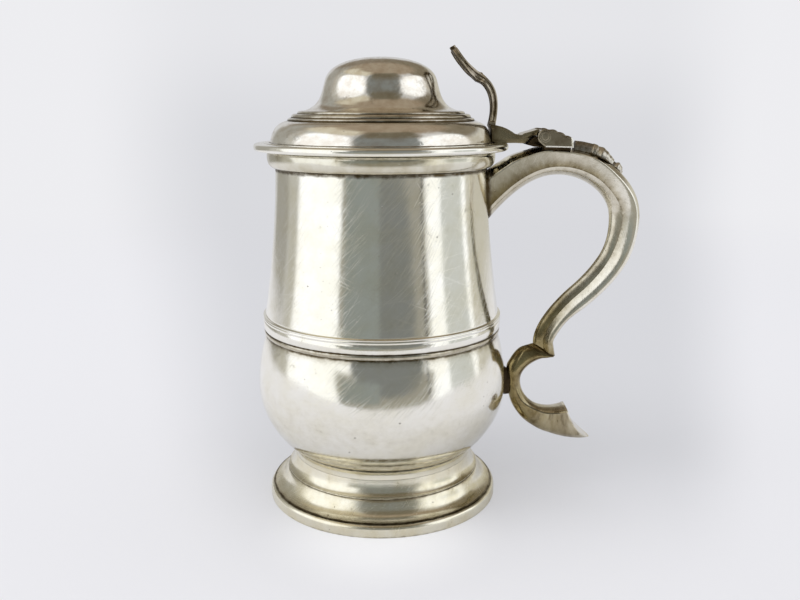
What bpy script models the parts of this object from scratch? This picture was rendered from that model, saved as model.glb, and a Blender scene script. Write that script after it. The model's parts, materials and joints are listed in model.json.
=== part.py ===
"""Lidded baluster tankard in silver, modelled piece by piece.

Sizes are in millimetres about the vessel's own axis, with the foot's underside at z = 0 and the
handle towards +X. Meshes are written in metres. The whole tankard hangs from one empty, which puts
the frame's origin under the middle of the object, and the lid hangs from a second empty on the
hinge's axis. The pulls of a curve are the two inner control points of its cubic.
"""

import math

import bmesh
import bpy
from mathutils import Matrix, Vector

MM = 0.001
SEGMENTS = 36
SMALL_SEGMENTS = 16
GAP = 0.3
WALL = 1.0
SMOOTH_ANGLE = math.radians(38)

# Vessel: the drum above, the belly below, as (radius, height)
MOUTH_TOP = 160.7
MOUTH_RADIUS = 47.1
DRUM_TOP = 155.0
DRUM_PULLS = ((47.2, 132.0), (51.0, 104.0))
WAIST_TOP = 88.2
WAIST_RADIUS = 53.5
WAIST_BASE = 78.9
BELLY_RADIUS = 57.43
BELLY_HEIGHT = 54.2
BELLY_TOP_PULLS = ((55.5, 72.0), (BELLY_RADIUS, 64.0))
BELLY_LOW_PULLS = ((BELLY_RADIUS, 40.6), (48.2, 29.3))
VESSEL_BASE_RADIUS = 43.0
VESSEL_BASE = 25.9

# Bands on the vessel
RIM_BAND_RADIUS = 50.65
RIM_BAND_PULLS = ((RIM_BAND_RADIUS, 158.2), (49.6, 155.4))
RIM_BAND_EDGE = (47.9, 153.7)
RIM_BAND_BASE = 153.4
GIRDLE_REEDS = ((88.0, 84.6), (84.4, 81.6), (81.4, 79.1))
GIRDLE_REED_SWELL = 0.8
GIRDLE_THICKNESS = 0.9

# Foot
COLLAR_RADIUS = 42.8
COLLAR_BASE = 21.2
COLLAR_BASE_RADIUS = 41.7
COLLAR_HOLLOW = 0.35
COLLAR_BORE = 40.0
STEP_TOP_RADIUS = 41.4
STEP_RADIUS = 44.2
STEP_HEIGHT = 13.8
STEP_SWELL = 1.2
STEP_LIP = 0.5
SKIRT_RADIUS = 52.1
SKIRT_BASE = 5.7
SKIRT_EDGE = 0.3
SKIRT_PULLS = ((46.6, 12.4), (46.0, 7.4))
PEDESTAL_INSIDE = ((49.1, SKIRT_BASE), (45.0, 8.6), (43.2, 12.8), (42.2, 16.6))
PEDESTAL_BORE = 39.6
FOOT_RADIUS = 53.5
FOOT_WIDEST = 3.2
FOOT_PULLS = ((53.0, 5.1), (FOOT_RADIUS, 4.2))
FOOT_EDGE = 0.5
FOOT_RING_WIDTH = 6.0
FOOT_RING_SLOPE = (2.6, 1.4)

# Lid
LID_TOP = 201.0
DOME_PULLS = ((11.0, LID_TOP), (22.3, 198.5))
DOME_SHOULDER = (24.4, 191.5)
OGEE_PULLS = ((26.3, 186.0), (26.0, 180.0))
LID_GROOVES = ((35.0, 178.0), (37.0, 176.7), (39.7, 175.0), (41.2, 174.0))
REED_FULLNESS = 0.2
SHOULDER_PULLS = ((45.8, 173.4), (47.8, 170.5))
LID_SHOULDER_RADIUS = 48.9
LID_SHOULDER_BASE = 166.7
LID_SHEET_RADIUS = 51.0
LID_SHEET_TOP = LID_SHOULDER_BASE - 0.4
UNDER_SHOULDER_PULLS = ((46.6, 169.5), (44.6, 172.2))
UNDER_GROOVES = (41.4, 172.3)
UNDER_OGEE_PULLS = ((24.0, 178.0), (24.6, 185.0))
UNDER_DOME = (23.0, 191.0)
UNDER_DOME_PULLS = ((21.2, 197.2), (10.5, LID_TOP - WALL))
FLANGE_RADIUS = 56.3
FLANGE_BASE = 161.0
FLANGE_WIDEST = 163.4
FLANGE_TOP_PULLS = ((54.6, 166.1), (FLANGE_RADIUS, 165.2))
FLANGE_LOW_PULLS = ((FLANGE_RADIUS, 162.2), (55.2, 161.7))
FLANGE_LIP = (53.2, 161.4)
FLANGE_SEAT_RADIUS = 51.3
FLANGE_BORE = LID_SHOULDER_RADIUS + 0.6
BEZEL_RADIUS = 45.0
BEZEL_BASE = 155.5
BEZEL_TAPER = 0.3
BEZEL_LEDGE = 1.3

# Hinge: the axis runs along Y
HINGE_X = 71.0
HINGE_Z = 167.1
KNUCKLE_RADIUS = 2.7
KNUCKLE_CHAMFER = 0.25
KNUCKLE_COUNT = 5
BARREL_HALF = 10.6
PIN_RADIUS = 1.0
PIN_HEAD_RADIUS = 2.3
PIN_HEAD_EDGE = 0.1
PIN_HEAD_HEIGHT = 0.5
PIN_CROWN = 0.75
RECESS_RADIUS = KNUCKLE_RADIUS + GAP + 0.05
SADDLE_END = 83.4
SADDLE_TOP = (165.4, HINGE_Z - 0.8)
SADDLE_BACK = 77.5
SADDLE_BASE = 161.6
SADDLE_STEP = 162.6
SADDLE_FOOT_HALF = 6.4
SADDLE_TONGUE = ((66.6, 166.8), (64.5, 165.0), (64.5, 163.9), (71.0, SADDLE_STEP), (72.0, SADDLE_BASE))
END_PLATE = 1.6
END_PLATE_CORNERS = ((71.2, 162.8), (SADDLE_END, 162.5))
END_PLATE_STEPS = ((82.9, 166.1), (79.7, 167.7), (76.3, 169.2), (73.0, 170.2))
END_PLATE_HOLLOW = 0.5
END_PLATE_NOSE = 3.3
STRAP_HALF_AT_LID = 8.0
STRAP_HALF_AT_HINGE = 6.4
STRAP_UNDERSIDE = ((54.4, 166.4), (56.2, 165.4), (56.9, 164.4), (62.4, 164.15), (66.2, 167.3))
STRAP_TOP = ((68.6, 170.3), (66.7, 169.6), (64.6, 169.0), (62.4, 168.4), (61.4, 167.7), (58.8, 168.1))
STRAP_CREST_PULLS = ((55.8, 170.3), (52.4, 172.1))
STRAP_TIP = ((47.7, 172.1), (47.7, 171.4), (48.4, 170.0))

# Handle: joined cubic curves of the seam between outer shell and inner strap, and sizes along it
HANDLE_SEAM = (
    ((45.0, 132.2), (55.3, 144.9), (66.5, 154.0), (78.8, 154.0)),
    ((78.8, 154.0), (93.2, 154.0), (106.8, 143.4), (106.8, 131.5)),
    ((106.8, 131.5), (106.8, 117.4), (97.7, 105.6), (88.4, 97.2)),
    ((88.4, 97.2), (82.3, 91.7), (71.2, 79.4), (72.7, 70.9)),
    ((72.7, 70.9), (73.1, 68.6), (73.5, 66.3), (73.9, 64.0)),
)
HANDLE_DEPTH = (
    (0, 11.5), (0.5, 9.3), (1, 7.1), (1.5, 8.8), (2, 9.8),
    (2.4, 10.6), (3, 9.8), (3.5, 8.1), (4, 7.4), (5, 7.4),
)
HANDLE_HALF_WIDTH = ((0, 7.8), (1.2, 7.5), (2, 6.6), (2.7, 5.3), (4, 4.6), (5, 4.6))
HANDLE_BULGE = ((0, 3.2), (1.9, 3.2), (2.5, 1.3), (5, 1.2))
HANDLE_SHEET = 1.2
HANDLE_END_CUT = ((71.0, 69.5), (80.4, 66.3))
HANDLE_STATIONS = 22
STRAP_EDGE = 0.7
SECTION_POWER = 2.5
SECTION_STEPS = 8
STRAP_STEPS = 6

# Lower scroll and its tail
SCROLL_SEAM = (
    ((80.0, 66.5), (72.5, 66.0), (64.0, 61.0), (64.0, 53.8)),
    ((64.0, 53.8), (64.0, 46.0), (71.0, 38.9), (79.5, 38.9)),
    ((79.5, 38.9), (85.5, 38.9), (92.5, 41.5), (98.0, 45.0)),
)
SCROLL_DEPTH = (
    (0, 0.8), (0.33, 7.3), (0.5, 8.2), (0.75, 7.2), (1, 4.8), (1.2, 5.3),
    (1.5, 7.0), (1.8, 9.2), (2, 11.4), (2.5, 16.3), (3, 19.0),
)
SCROLL_HALF_WIDTH = ((0, 4.9), (1, 4.8), (1.5, 5.6), (2, 7.0), (2.5, 8.3), (3, 8.8))
SCROLL_BULGE = 0.5
SCROLL_HEAD_STATIONS = 4
SCROLL_STATIONS = 14
TAIL_CENTRE = (111.2, 47.4)
TAIL_RADIUS = 25.1
TAIL_PLATE = 1.0
TAIL_SEGMENTS = 64
CUTTER_REACH = 20.0

# Pad between belly and lower scroll
PAD_HEIGHT = (47.0, 60.0)
PAD_REACH = (55.0, 63.0)
PAD_HALF_WIDTH = 3.4

# Leaf drop on the handle's back: place along the seam, half width and height of each station
LEAF_STATIONS = (
    (1.125, 3.4, 3.9), (1.20, 3.4, 4.1), (1.26, 3.3, 4.2), (1.275, 4.2, 4.5), (1.30, 4.2, 4.5),
    (1.315, 3.4, 4.2), (1.35, 5.0, 4.6), (1.39, 4.9, 4.0), (1.43, 4.4, 3.1), (1.47, 3.5, 2.5),
    (1.485, 2.3, 1.8), (1.50, 2.3, 1.8), (1.525, 3.1, 2.8), (1.56, 2.7, 2.3), (1.60, 0.9, 0.9),
)

# Thumbpiece: two curves up from the strap, sizes along them, and the pierced stretches
THUMB_CURVE = (
    ((48.9, 172.5), (50.7, 181.0), (49.5, 188.5), (43.5, 191.9)),
    ((43.5, 191.9), (38.5, 194.7), (34.0, 200.5), (31.4, 205.4)),
)
THUMB_HALF_WIDTH = (
    (0, 4.4), (0.2, 3.2), (0.55, 5.2), (0.9, 6.0), (1.05, 3.9),
    (1.3, 7.2), (1.6, 8.6), (1.85, 7.2), (2, 3.6),
)
THUMB_THICKNESS = ((0, 2.6), (0.3, 2.2), (0.9, 2.4), (1.04, 3.4), (1.18, 2.4), (2, 2.0))
THUMB_PIERCINGS = ((0.3, 0.95, 0.9), (1.12, 1.86, 1.7))
THUMB_ROWS = 22

POLISHED = ((0.80, 0.79, 0.74), 0.14)
WORN = ((0.74, 0.71, 0.62), 0.24)
TARNISHED = ((0.55, 0.51, 0.42), 0.32)


def clear_scene():
    for item in list(bpy.data.objects):
        bpy.data.objects.remove(item, do_unlink=True)


# Curves in a plane


def cubic(knots, t):
    """Point of one cubic curve."""
    a, b, c, d = (Vector(knot) for knot in knots)
    u = 1 - t
    return u**3 * a + 3 * u * u * t * b + 3 * u * t * t * c + t**3 * d


def bezier(start, pulls, end, steps):
    """Points of one cubic curve, without its first point."""
    knots = (start, *pulls, end)
    return [tuple(cubic(knots, step / steps)) for step in range(1, steps + 1)]


def swell(start, end, height, steps):
    """Points of a round swelling between two points, without the first, outward on the way down."""
    start = Vector(start)
    chord = Vector(end) - start
    outward = Vector((-chord.y, chord.x)).normalized()
    points = []
    for step in range(1, steps + 1):
        t = step / steps
        points.append(tuple(start + chord * t + outward * height * 4 * t * (1 - t)))
    return points


def offset_line(points, distance):
    """The open line moved sideways, inward for a positive distance on the way down."""
    moved = []
    for index, point in enumerate(points):
        before = Vector(points[max(index - 1, 0)])
        after = Vector(points[min(index + 1, len(points) - 1)])
        along = (after - before).normalized()
        moved.append(tuple(Vector(point) + Vector((along.y, -along.x)) * distance))
    return moved


def table_value(table, place):
    """Value between the rows of a table of (place, value), eased at both ends of each row."""
    for (low, low_value), (high, high_value) in zip(table, table[1:]):
        if place <= high:
            t = max(0.0, (place - low) / (high - low))
            ease = t * t * (3 - 2 * t)
            return low_value + (high_value - low_value) * ease
    return table[-1][1]


def curve_frame(curves, place):
    """Point and unit tangent of joined cubic curves; the whole part of place picks the curve."""
    index = min(int(place), len(curves) - 1)
    t = place - index
    u = 1 - t
    a, b, c, d = (Vector(knot) for knot in curves[index])
    tangent = u * u * (b - a) + 2 * u * t * (c - b) + t * t * (d - c)
    return cubic(curves[index], t), tangent.normalized()


def steps_between(low, high, count):
    return [low + (high - low) * step / count for step in range(count + 1)]


# Meshes and objects


def metal(name, colour, roughness):
    material = bpy.data.materials.new(name)
    material.use_nodes = True
    shader = material.node_tree.nodes["Principled BSDF"]
    shader.inputs["Base Color"].default_value = (*colour, 1.0)
    shader.inputs["Roughness"].default_value = roughness
    shader.inputs["Metallic"].default_value = 1.0
    return material


def new_object(name, bm, finish=None):
    """Object with the mesh in metres, faces out, smooth where it is round; without a finish, a cutter."""
    bmesh.ops.scale(bm, vec=(MM, MM, MM), verts=bm.verts)
    bmesh.ops.remove_doubles(bm, verts=bm.verts, dist=MM * 0.001)
    bmesh.ops.recalc_face_normals(bm, faces=bm.faces)
    mesh = bpy.data.meshes.new(name)
    bm.to_mesh(mesh)
    bm.free()
    mesh.shade_smooth()
    mesh.set_sharp_from_angle(angle=SMOOTH_ANGLE)
    item = bpy.data.objects.new(name, mesh)
    bpy.context.scene.collection.objects.link(item)
    if finish is None:
        item.hide_render = True
        item.display_type = "WIRE"
    else:
        mesh.materials.append(metal(name, *finish))
    return item


def turned(name, profile, finish=None, segments=SEGMENTS, place=None):
    """Solid of revolution about Z of a (radius, height) outline, which may start and end on the axis."""
    bm = bmesh.new()
    verts = [bm.verts.new((radius, 0.0, height)) for radius, height in profile]
    pairs = list(zip(verts, verts[1:]))
    if profile[0][0] > 0 or profile[-1][0] > 0:
        pairs.append((verts[-1], verts[0]))
    edges = [bm.edges.new(pair) for pair in pairs]
    spun = verts + edges
    axis = (0, 0, 1)
    bmesh.ops.spin(bm, geom=spun, cent=(0, 0, 0), axis=axis, angle=math.tau, steps=segments, use_merge=True)
    bmesh.ops.remove_doubles(bm, verts=bm.verts, dist=0.001)
    if place is not None:
        bmesh.ops.transform(bm, matrix=place, verts=bm.verts)
    return new_object(name, bm, finish)


def loft(name, sections, finish=None):
    """Closed solid through a row of matching closed sections."""
    bm = bmesh.new()
    rings = [[bm.verts.new(point) for point in section] for section in sections]
    count = len(rings[0])
    for ring, after in zip(rings, rings[1:]):
        for i in range(count):
            j = (i + 1) % count
            bm.faces.new((ring[i], ring[j], after[j], after[i]))
    bm.faces.new(rings[0])
    bm.faces.new(rings[-1])
    return new_object(name, bm, finish)


def slab(name, outline, low, high, finish=None):
    """Outline in the XZ plane carried along Y between two functions of x."""
    sections = [[(x, side(x), z) for x, z in outline] for side in (low, high)]
    return loft(name, sections, finish)


def level(height):
    return lambda x: height


def boolean(item, other, operation):
    modifier = item.modifiers.new(operation.lower(), "BOOLEAN")
    modifier.operation = operation
    modifier.solver = "EXACT"
    modifier.object = other


# Vessel and foot: outlines run down their outer side


def rim_band_curve(grow=0.0):
    points = [(RIM_BAND_RADIUS, MOUTH_TOP)]
    points += bezier(points[0], RIM_BAND_PULLS, RIM_BAND_EDGE, 4)
    points.append((MOUTH_RADIUS + GAP, RIM_BAND_BASE))
    return offset_line(points, -grow)


def drum_curve(grow=0.0):
    """The upper drum, from the mouth's edge to the girdle."""
    points = [(MOUTH_RADIUS, MOUTH_TOP)]
    points += bezier((MOUTH_RADIUS, DRUM_TOP), DRUM_PULLS, (WAIST_RADIUS, WAIST_TOP), 6)
    return offset_line(points, -grow)


def belly_curve(grow=0.0):
    """The waist under the girdle and the belly below it, down to the base."""
    waist = (WAIST_RADIUS, WAIST_BASE)
    widest = (BELLY_RADIUS, BELLY_HEIGHT)
    points = [waist]
    points += bezier(waist, BELLY_TOP_PULLS, widest, 5)
    points += bezier(widest, BELLY_LOW_PULLS, (VESSEL_BASE_RADIUS, VESSEL_BASE), 7)
    return offset_line(points, -grow)


def vessel_body():
    """One line from the floor's middle up the inside, over the lip and down the outside."""
    drum = drum_curve()
    belly = belly_curve()
    floor = VESSEL_BASE + WALL
    inside = offset_line(drum, WALL)[::2] + offset_line(belly, WALL)
    inside = [point for point in inside if point[1] > floor + WALL]
    inside[0] = (MOUTH_RADIUS - WALL, MOUTH_TOP)
    floor_edge = (VESSEL_BASE_RADIUS - WALL, floor)
    profile = [(0.0, floor), floor_edge] + inside[::-1] + drum + belly + [(0.0, VESSEL_BASE)]
    return turned("vessel_body", profile, POLISHED)


def mouth_rim_band():
    profile = rim_band_curve() + [(MOUTH_RADIUS + GAP, MOUTH_TOP)]
    return turned("mouth_rim_band", profile, POLISHED)


def girdle_band():
    inner = WAIST_RADIUS + GAP
    outer = inner + GIRDLE_THICKNESS
    profile = [(inner, GIRDLE_REEDS[0][0])]
    for top, base in GIRDLE_REEDS:
        profile.append((outer, top))
        profile += swell((outer, top), (outer, base), GIRDLE_REED_SWELL, 3)
    profile.append((inner, GIRDLE_REEDS[-1][1]))
    return turned("girdle_band", profile, POLISHED)


def foot_collar():
    top = VESSEL_BASE - GAP
    profile = [(COLLAR_RADIUS, top)]
    profile += swell(profile[0], (COLLAR_BASE_RADIUS, COLLAR_BASE), -COLLAR_HOLLOW, 3)
    profile += [(COLLAR_BORE, COLLAR_BASE), (COLLAR_BORE, top)]
    return turned("foot_collar", profile, POLISHED)


def foot_pedestal():
    top = COLLAR_BASE - GAP
    outside = [(STEP_TOP_RADIUS, top)]
    outside += swell(outside[0], (STEP_RADIUS, STEP_HEIGHT), STEP_SWELL, 4)
    outside.append((STEP_RADIUS + STEP_LIP, STEP_HEIGHT - STEP_LIP))
    outside += bezier(outside[-1], SKIRT_PULLS, (SKIRT_RADIUS, SKIRT_BASE + SKIRT_EDGE), 5)
    outside.append((SKIRT_RADIUS, SKIRT_BASE))
    inside = [*PEDESTAL_INSIDE, (PEDESTAL_BORE, top)]
    return turned("foot_pedestal", outside + inside, POLISHED)


def foot_rim_wire():
    top = SKIRT_BASE - GAP
    inner = FOOT_RADIUS - FOOT_RING_WIDTH
    slope_width, slope_base = FOOT_RING_SLOPE
    profile = [(SKIRT_RADIUS, top)]
    profile += bezier(profile[0], FOOT_PULLS, (FOOT_RADIUS, FOOT_WIDEST), 3)
    profile += [(FOOT_RADIUS, FOOT_EDGE), (FOOT_RADIUS - FOOT_EDGE, 0.0), (inner, 0.0)]
    profile += [(inner, slope_base), (inner + slope_width, top)]
    return turned("foot_rim_wire", profile, POLISHED)


# Lid


def lid_dome():
    """Raised lid: dome, ogee, three reeds and shoulder, with the sheet's underside back to the axis."""
    outside = [(0.0, LID_TOP)]
    outside += bezier(outside[0], DOME_PULLS, DOME_SHOULDER, 6)
    outside += bezier(DOME_SHOULDER, OGEE_PULLS, LID_GROOVES[0], 5)
    for start, end in zip(LID_GROOVES, LID_GROOVES[1:]):
        outside += swell(start, end, REED_FULLNESS * math.dist(start, end), 2)
    outside += bezier(LID_GROOVES[-1], SHOULDER_PULLS, (LID_SHOULDER_RADIUS, LID_SHOULDER_BASE), 4)
    outside.append((LID_SHEET_RADIUS, LID_SHEET_TOP))
    under = LID_SHEET_TOP - WALL
    inside = [(LID_SHEET_RADIUS, under), (LID_SHOULDER_RADIUS - WALL, under)]
    inside += bezier(inside[-1], UNDER_SHOULDER_PULLS, UNDER_GROOVES, 3)
    inside += bezier(UNDER_GROOVES, UNDER_OGEE_PULLS, UNDER_DOME, 4)
    inside += bezier(UNDER_DOME, UNDER_DOME_PULLS, (0.0, LID_TOP - WALL), 4)
    return turned("lid_dome", outside + inside, POLISHED)


def lid_rim_wire():
    seat = LID_SHEET_TOP - WALL - GAP
    edge = LID_SHEET_RADIUS + GAP
    widest = (FLANGE_RADIUS, FLANGE_WIDEST)
    profile = [(edge, LID_SHEET_TOP - GAP / 2)]
    profile += bezier(profile[0], FLANGE_TOP_PULLS, widest, 3)
    profile += bezier(widest, FLANGE_LOW_PULLS, FLANGE_LIP, 3)
    profile += [(FLANGE_SEAT_RADIUS, FLANGE_BASE), (FLANGE_BORE, FLANGE_BASE)]
    profile += [(FLANGE_BORE, seat), (edge, seat)]
    return turned("lid_rim_wire", profile, POLISHED)


def lid_bezel():
    """Ring inside the lid with a skirt that drops into the mouth."""
    outer = FLANGE_BORE - GAP
    inner = BEZEL_RADIUS - WALL
    ledge = FLANGE_BASE + GAP
    top = ledge + BEZEL_LEDGE
    profile = [(outer, top), (outer, ledge), (BEZEL_RADIUS, ledge)]
    profile += [(BEZEL_RADIUS - BEZEL_TAPER, BEZEL_BASE), (inner, BEZEL_BASE), (inner, top)]
    return turned("lid_bezel", profile, WORN)


# Handle


def shell_section(half, depth, grow=0.0):
    """Rounded back of the handle, as (across, out) points over the seam."""
    power = 2 / SECTION_POWER
    points = []
    for step in range(SECTION_STEPS + 1):
        angle = math.pi * step / SECTION_STEPS
        across = math.copysign(abs(math.cos(angle)) ** power, math.cos(angle))
        out = abs(math.sin(angle)) ** power
        points.append(((half + grow) * across, GAP / 2 - grow + (depth - GAP / 2 + 2 * grow) * out))
    return points


def channel_section(half, depth):
    """The back as a bent sheet, open towards the seam."""
    inside = shell_section(half - HANDLE_SHEET, depth - HANDLE_SHEET)
    return shell_section(half, depth) + inside[::-1]


def strap_section(half, bulge):
    """Convex inner strap, as (across, out) points under the seam."""
    points = [(-half, -GAP / 2)]
    for share in steps_between(-1, 1, STRAP_STEPS):
        points.append((half * share, -GAP / 2 - STRAP_EDGE - bulge * (1 - share * share)))
    points.append((half, -GAP / 2))
    return points


def whole_section(half, depth, bulge, grow):
    """Shell and strap as one outline."""
    front = strap_section(half + grow, bulge)[1:-1]
    return shell_section(half, depth, grow) + [(across, out - grow) for across, out in front]


def swept_sections(curves, side, places, section_at):
    """Sections along joined curves; side picks which side of the path is out."""
    sections = []
    for place in places:
        point, tangent = curve_frame(curves, place)
        out = Vector((-tangent.y, tangent.x)) * side
        ring = []
        for across, away in section_at(place):
            spot = point + out * away
            ring.append((spot.x, across, spot.y))
        sections.append(ring)
    return sections


def handle_half(place):
    return table_value(HANDLE_HALF_WIDTH, place)


def handle_depth(place):
    return table_value(HANDLE_DEPTH, place)


def cut_flat(item, start, end):
    """Removes what lies below the line from start to end in the XZ plane."""
    along = Vector((end[0] - start[0], 0, end[1] - start[1])).normalized()
    upward = Vector((-along.z, 0, along.x))
    bm = bmesh.new()
    bm.from_mesh(item.data)
    geometry = list(bm.verts) + list(bm.edges) + list(bm.faces)
    spot = Vector((start[0], 0, start[1])) * MM
    cut = bmesh.ops.bisect_plane(bm, geom=geometry, plane_co=spot, plane_no=-upward, clear_outer=True)
    rim = [part for part in cut["geom_cut"] if isinstance(part, bmesh.types.BMEdge)]
    bmesh.ops.contextual_create(bm, geom=rim)
    bmesh.ops.recalc_face_normals(bm, faces=bm.faces)
    bm.to_mesh(item.data)
    bm.free()


def handle_pieces(vessel_cutter, scroll_cutter):
    """Bent outer shell and the strap that closes it, fitted to the vessel and to the lower scroll."""

    def shell(place):
        return channel_section(handle_half(place), handle_depth(place))

    def strap(place):
        return strap_section(handle_half(place), table_value(HANDLE_BULGE, place))

    last = len(HANDLE_SEAM)
    places = steps_between(0, last - 1, HANDLE_STATIONS) + steps_between(last - 1, last, 2)[1:]
    pieces = []
    for name, section in (("handle_outer_shell", shell), ("handle_inner_strap", strap)):
        piece = loft(name, swept_sections(HANDLE_SEAM, 1, places, section), WORN)
        cut_flat(piece, *HANDLE_END_CUT)
        boolean(piece, vessel_cutter, "DIFFERENCE")
        boolean(piece, scroll_cutter, "DIFFERENCE")
        pieces.append(piece)
    return pieces


def scroll_half(place):
    return table_value(SCROLL_HALF_WIDTH, place)


def scroll_depth(place):
    return table_value(SCROLL_DEPTH, place)


def scroll_loft(name, section, finish=None):
    """Solid along the lower scroll, with closer stations round its head."""
    head = 0.5
    places = steps_between(0, head, SCROLL_HEAD_STATIONS)
    places += steps_between(head, len(SCROLL_SEAM), SCROLL_STATIONS)[1:]
    return loft(name, swept_sections(SCROLL_SEAM, -1, places, section), finish)


def scroll_solid(name, grow, finish=None):
    def section(place):
        return whole_section(scroll_half(place), scroll_depth(place), SCROLL_BULGE, grow)

    return scroll_loft(name, section, finish)


def tail_cutter(name, radius):
    """Round bar along Y that hollows the end of the tail."""
    place = Matrix.Translation((TAIL_CENTRE[0], 0, TAIL_CENTRE[1])) @ Matrix.Rotation(math.pi / 2, 4, "X")
    outline = [(0.0, CUTTER_REACH), (radius, CUTTER_REACH), (radius, -CUTTER_REACH), (0.0, -CUTTER_REACH)]
    return turned(name, outline, None, TAIL_SEGMENTS, place)


def scroll_pieces():
    """Shell and strap of the lower scroll, and the plate that closes its tail."""

    def shell(place):
        return shell_section(scroll_half(place), scroll_depth(place))

    def strap(place):
        return strap_section(scroll_half(place), SCROLL_BULGE)

    end_cutter = tail_cutter("tail_end_cutter", TAIL_RADIUS + TAIL_PLATE + GAP)
    pieces = []
    for name, section in (("handle_scroll_shell", shell), ("handle_scroll_strap", strap)):
        piece = scroll_loft(name, section, TARNISHED)
        boolean(piece, end_cutter, "DIFFERENCE")
        pieces.append(piece)
    plate = scroll_solid("handle_tail_plate", 0.0, WORN)
    boolean(plate, tail_cutter("tail_plate_back", TAIL_RADIUS + TAIL_PLATE), "INTERSECT")
    boolean(plate, tail_cutter("tail_plate_front", TAIL_RADIUS), "DIFFERENCE")
    return pieces + [plate]


def handle_lower_pad(belly_cutter, scroll_cutter):
    low, high = PAD_HEIGHT
    near, far = PAD_REACH
    outline = [(near, low), (far, low), (far, high), (near, high)]
    pad = slab("handle_lower_pad", outline, level(-PAD_HALF_WIDTH), level(PAD_HALF_WIDTH), TARNISHED)
    boolean(pad, belly_cutter, "DIFFERENCE")
    boolean(pad, scroll_cutter, "DIFFERENCE")
    return pad


def handle_leaf_drop():
    """Leaf along the handle's back, lofted through half-round sections."""
    sections = []
    for place, half, height in LEAF_STATIONS:
        point, tangent = curve_frame(HANDLE_SEAM, place)
        out = Vector((-tangent.y, tangent.x))
        back = point + out * (handle_depth(place) + GAP)
        ring = []
        for step in range(SECTION_STEPS + 1):
            angle = math.pi * step / SECTION_STEPS
            spot = back + out * height * math.sin(angle)
            ring.append((spot.x, half * math.cos(angle), spot.y))
        sections.append(ring)
    return loft("handle_leaf_drop", sections, TARNISHED)


# Hinge


def around_hinge(radius, low, high, steps):
    """Arc about the hinge's axis between two angles in degrees."""
    points = []
    for degrees in steps_between(low, high, steps):
        angle = math.radians(degrees)
        points.append((HINGE_X + radius * math.cos(angle), HINGE_Z + radius * math.sin(angle)))
    return points


def hinge_place():
    return Matrix.Translation((HINGE_X, 0, HINGE_Z)) @ Matrix.Rotation(-math.pi / 2, 4, "X")


def knuckle(name, index, finish):
    length = (2 * BARREL_HALF - (KNUCKLE_COUNT - 1) * GAP) / KNUCKLE_COUNT
    low = -BARREL_HALF + index * (length + GAP)
    high = low + length
    bore = PIN_RADIUS + GAP
    edge = KNUCKLE_RADIUS - KNUCKLE_CHAMFER
    profile = [(edge, high), (KNUCKLE_RADIUS, high - KNUCKLE_CHAMFER)]
    profile += [(KNUCKLE_RADIUS, low + KNUCKLE_CHAMFER), (edge, low), (bore, low), (bore, high)]
    return turned(name, profile, finish, SMALL_SEGMENTS, hinge_place())


def hinge_pin():
    """Pin through the whole barrel, riveted over at both ends."""
    under_head = BARREL_HALF + GAP + END_PLATE + GAP
    half = [(0.0, under_head + PIN_HEAD_HEIGHT), (PIN_HEAD_RADIUS * PIN_CROWN, under_head + PIN_HEAD_HEIGHT)]
    half += [(PIN_HEAD_RADIUS, under_head + PIN_HEAD_EDGE), (PIN_HEAD_RADIUS, under_head)]
    half.append((PIN_RADIUS, under_head))
    mirrored = [(radius, -height) for radius, height in reversed(half)]
    return turned("hinge_pin", half + mirrored, TARNISHED, SMALL_SEGMENTS, hinge_place())


def hinge_saddle():
    """Fixed block under the barrel, with a thin tongue below the lid's strap."""
    end_top, back_top = SADDLE_TOP
    outline = [(SADDLE_END, SADDLE_BASE), (SADDLE_END, end_top), (SADDLE_BACK, back_top)]
    outline += around_hinge(RECESS_RADIUS, -15, -180, 10)
    outline += SADDLE_TONGUE
    saddle = slab("hinge_saddle", outline, level(-BARREL_HALF), level(BARREL_HALF), TARNISHED)
    under = SADDLE_BASE - CUTTER_REACH
    near, far = HINGE_X - CUTTER_REACH, HINGE_X + CUTTER_REACH
    box = [(near, under), (far, under), (far, SADDLE_STEP), (near, SADDLE_STEP)]
    for side, label in ((-1, "near"), (1, "far")):
        low, high = sorted((side * SADDLE_FOOT_HALF, side * CUTTER_REACH))
        boolean(saddle, slab(f"saddle_step_{label}", box, level(low), level(high)), "DIFFERENCE")
    return saddle


def hinge_end_plate(name, side, bore_cutter):
    """Stepped flag-shaped plate that covers one end of the barrel."""
    outline = [*END_PLATE_CORNERS, END_PLATE_STEPS[0]]
    for start, end in zip(END_PLATE_STEPS, END_PLATE_STEPS[1:]):
        outline += swell(start, end, -END_PLATE_HOLLOW, 3)
    outline += around_hinge(END_PLATE_NOSE, 85, 215, 8)
    inner = BARREL_HALF + GAP
    low, high = sorted((side * inner, side * (inner + END_PLATE)))
    plate = slab(name, outline, level(low), level(high), TARNISHED)
    boolean(plate, bore_cutter, "DIFFERENCE")
    return plate


def lid_hinge_strap():
    """Strap from the lid's shoulder over the flange to the lid's own knuckles."""
    shoulder = LID_SHOULDER_RADIUS + 0.5
    top = LID_SHOULDER_BASE + 0.4
    outline = [*STRAP_TIP[1:], (shoulder, top + WALL), (shoulder + 0.5, top), (LID_SHEET_RADIUS, top)]
    outline += STRAP_UNDERSIDE
    outline += around_hinge(RECESS_RADIUS, 172, 118, 5)
    outline += STRAP_TOP
    outline += bezier(STRAP_TOP[-1], STRAP_CREST_PULLS, STRAP_TIP[0], 5)

    def half(x):
        t = (x - LID_SHOULDER_RADIUS) / (HINGE_X - LID_SHOULDER_RADIUS)
        return STRAP_HALF_AT_LID + (STRAP_HALF_AT_HINGE - STRAP_HALF_AT_LID) * max(0.0, t)

    return slab("lid_hinge_strap", outline, lambda x: -half(x), half, WORN)


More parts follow.
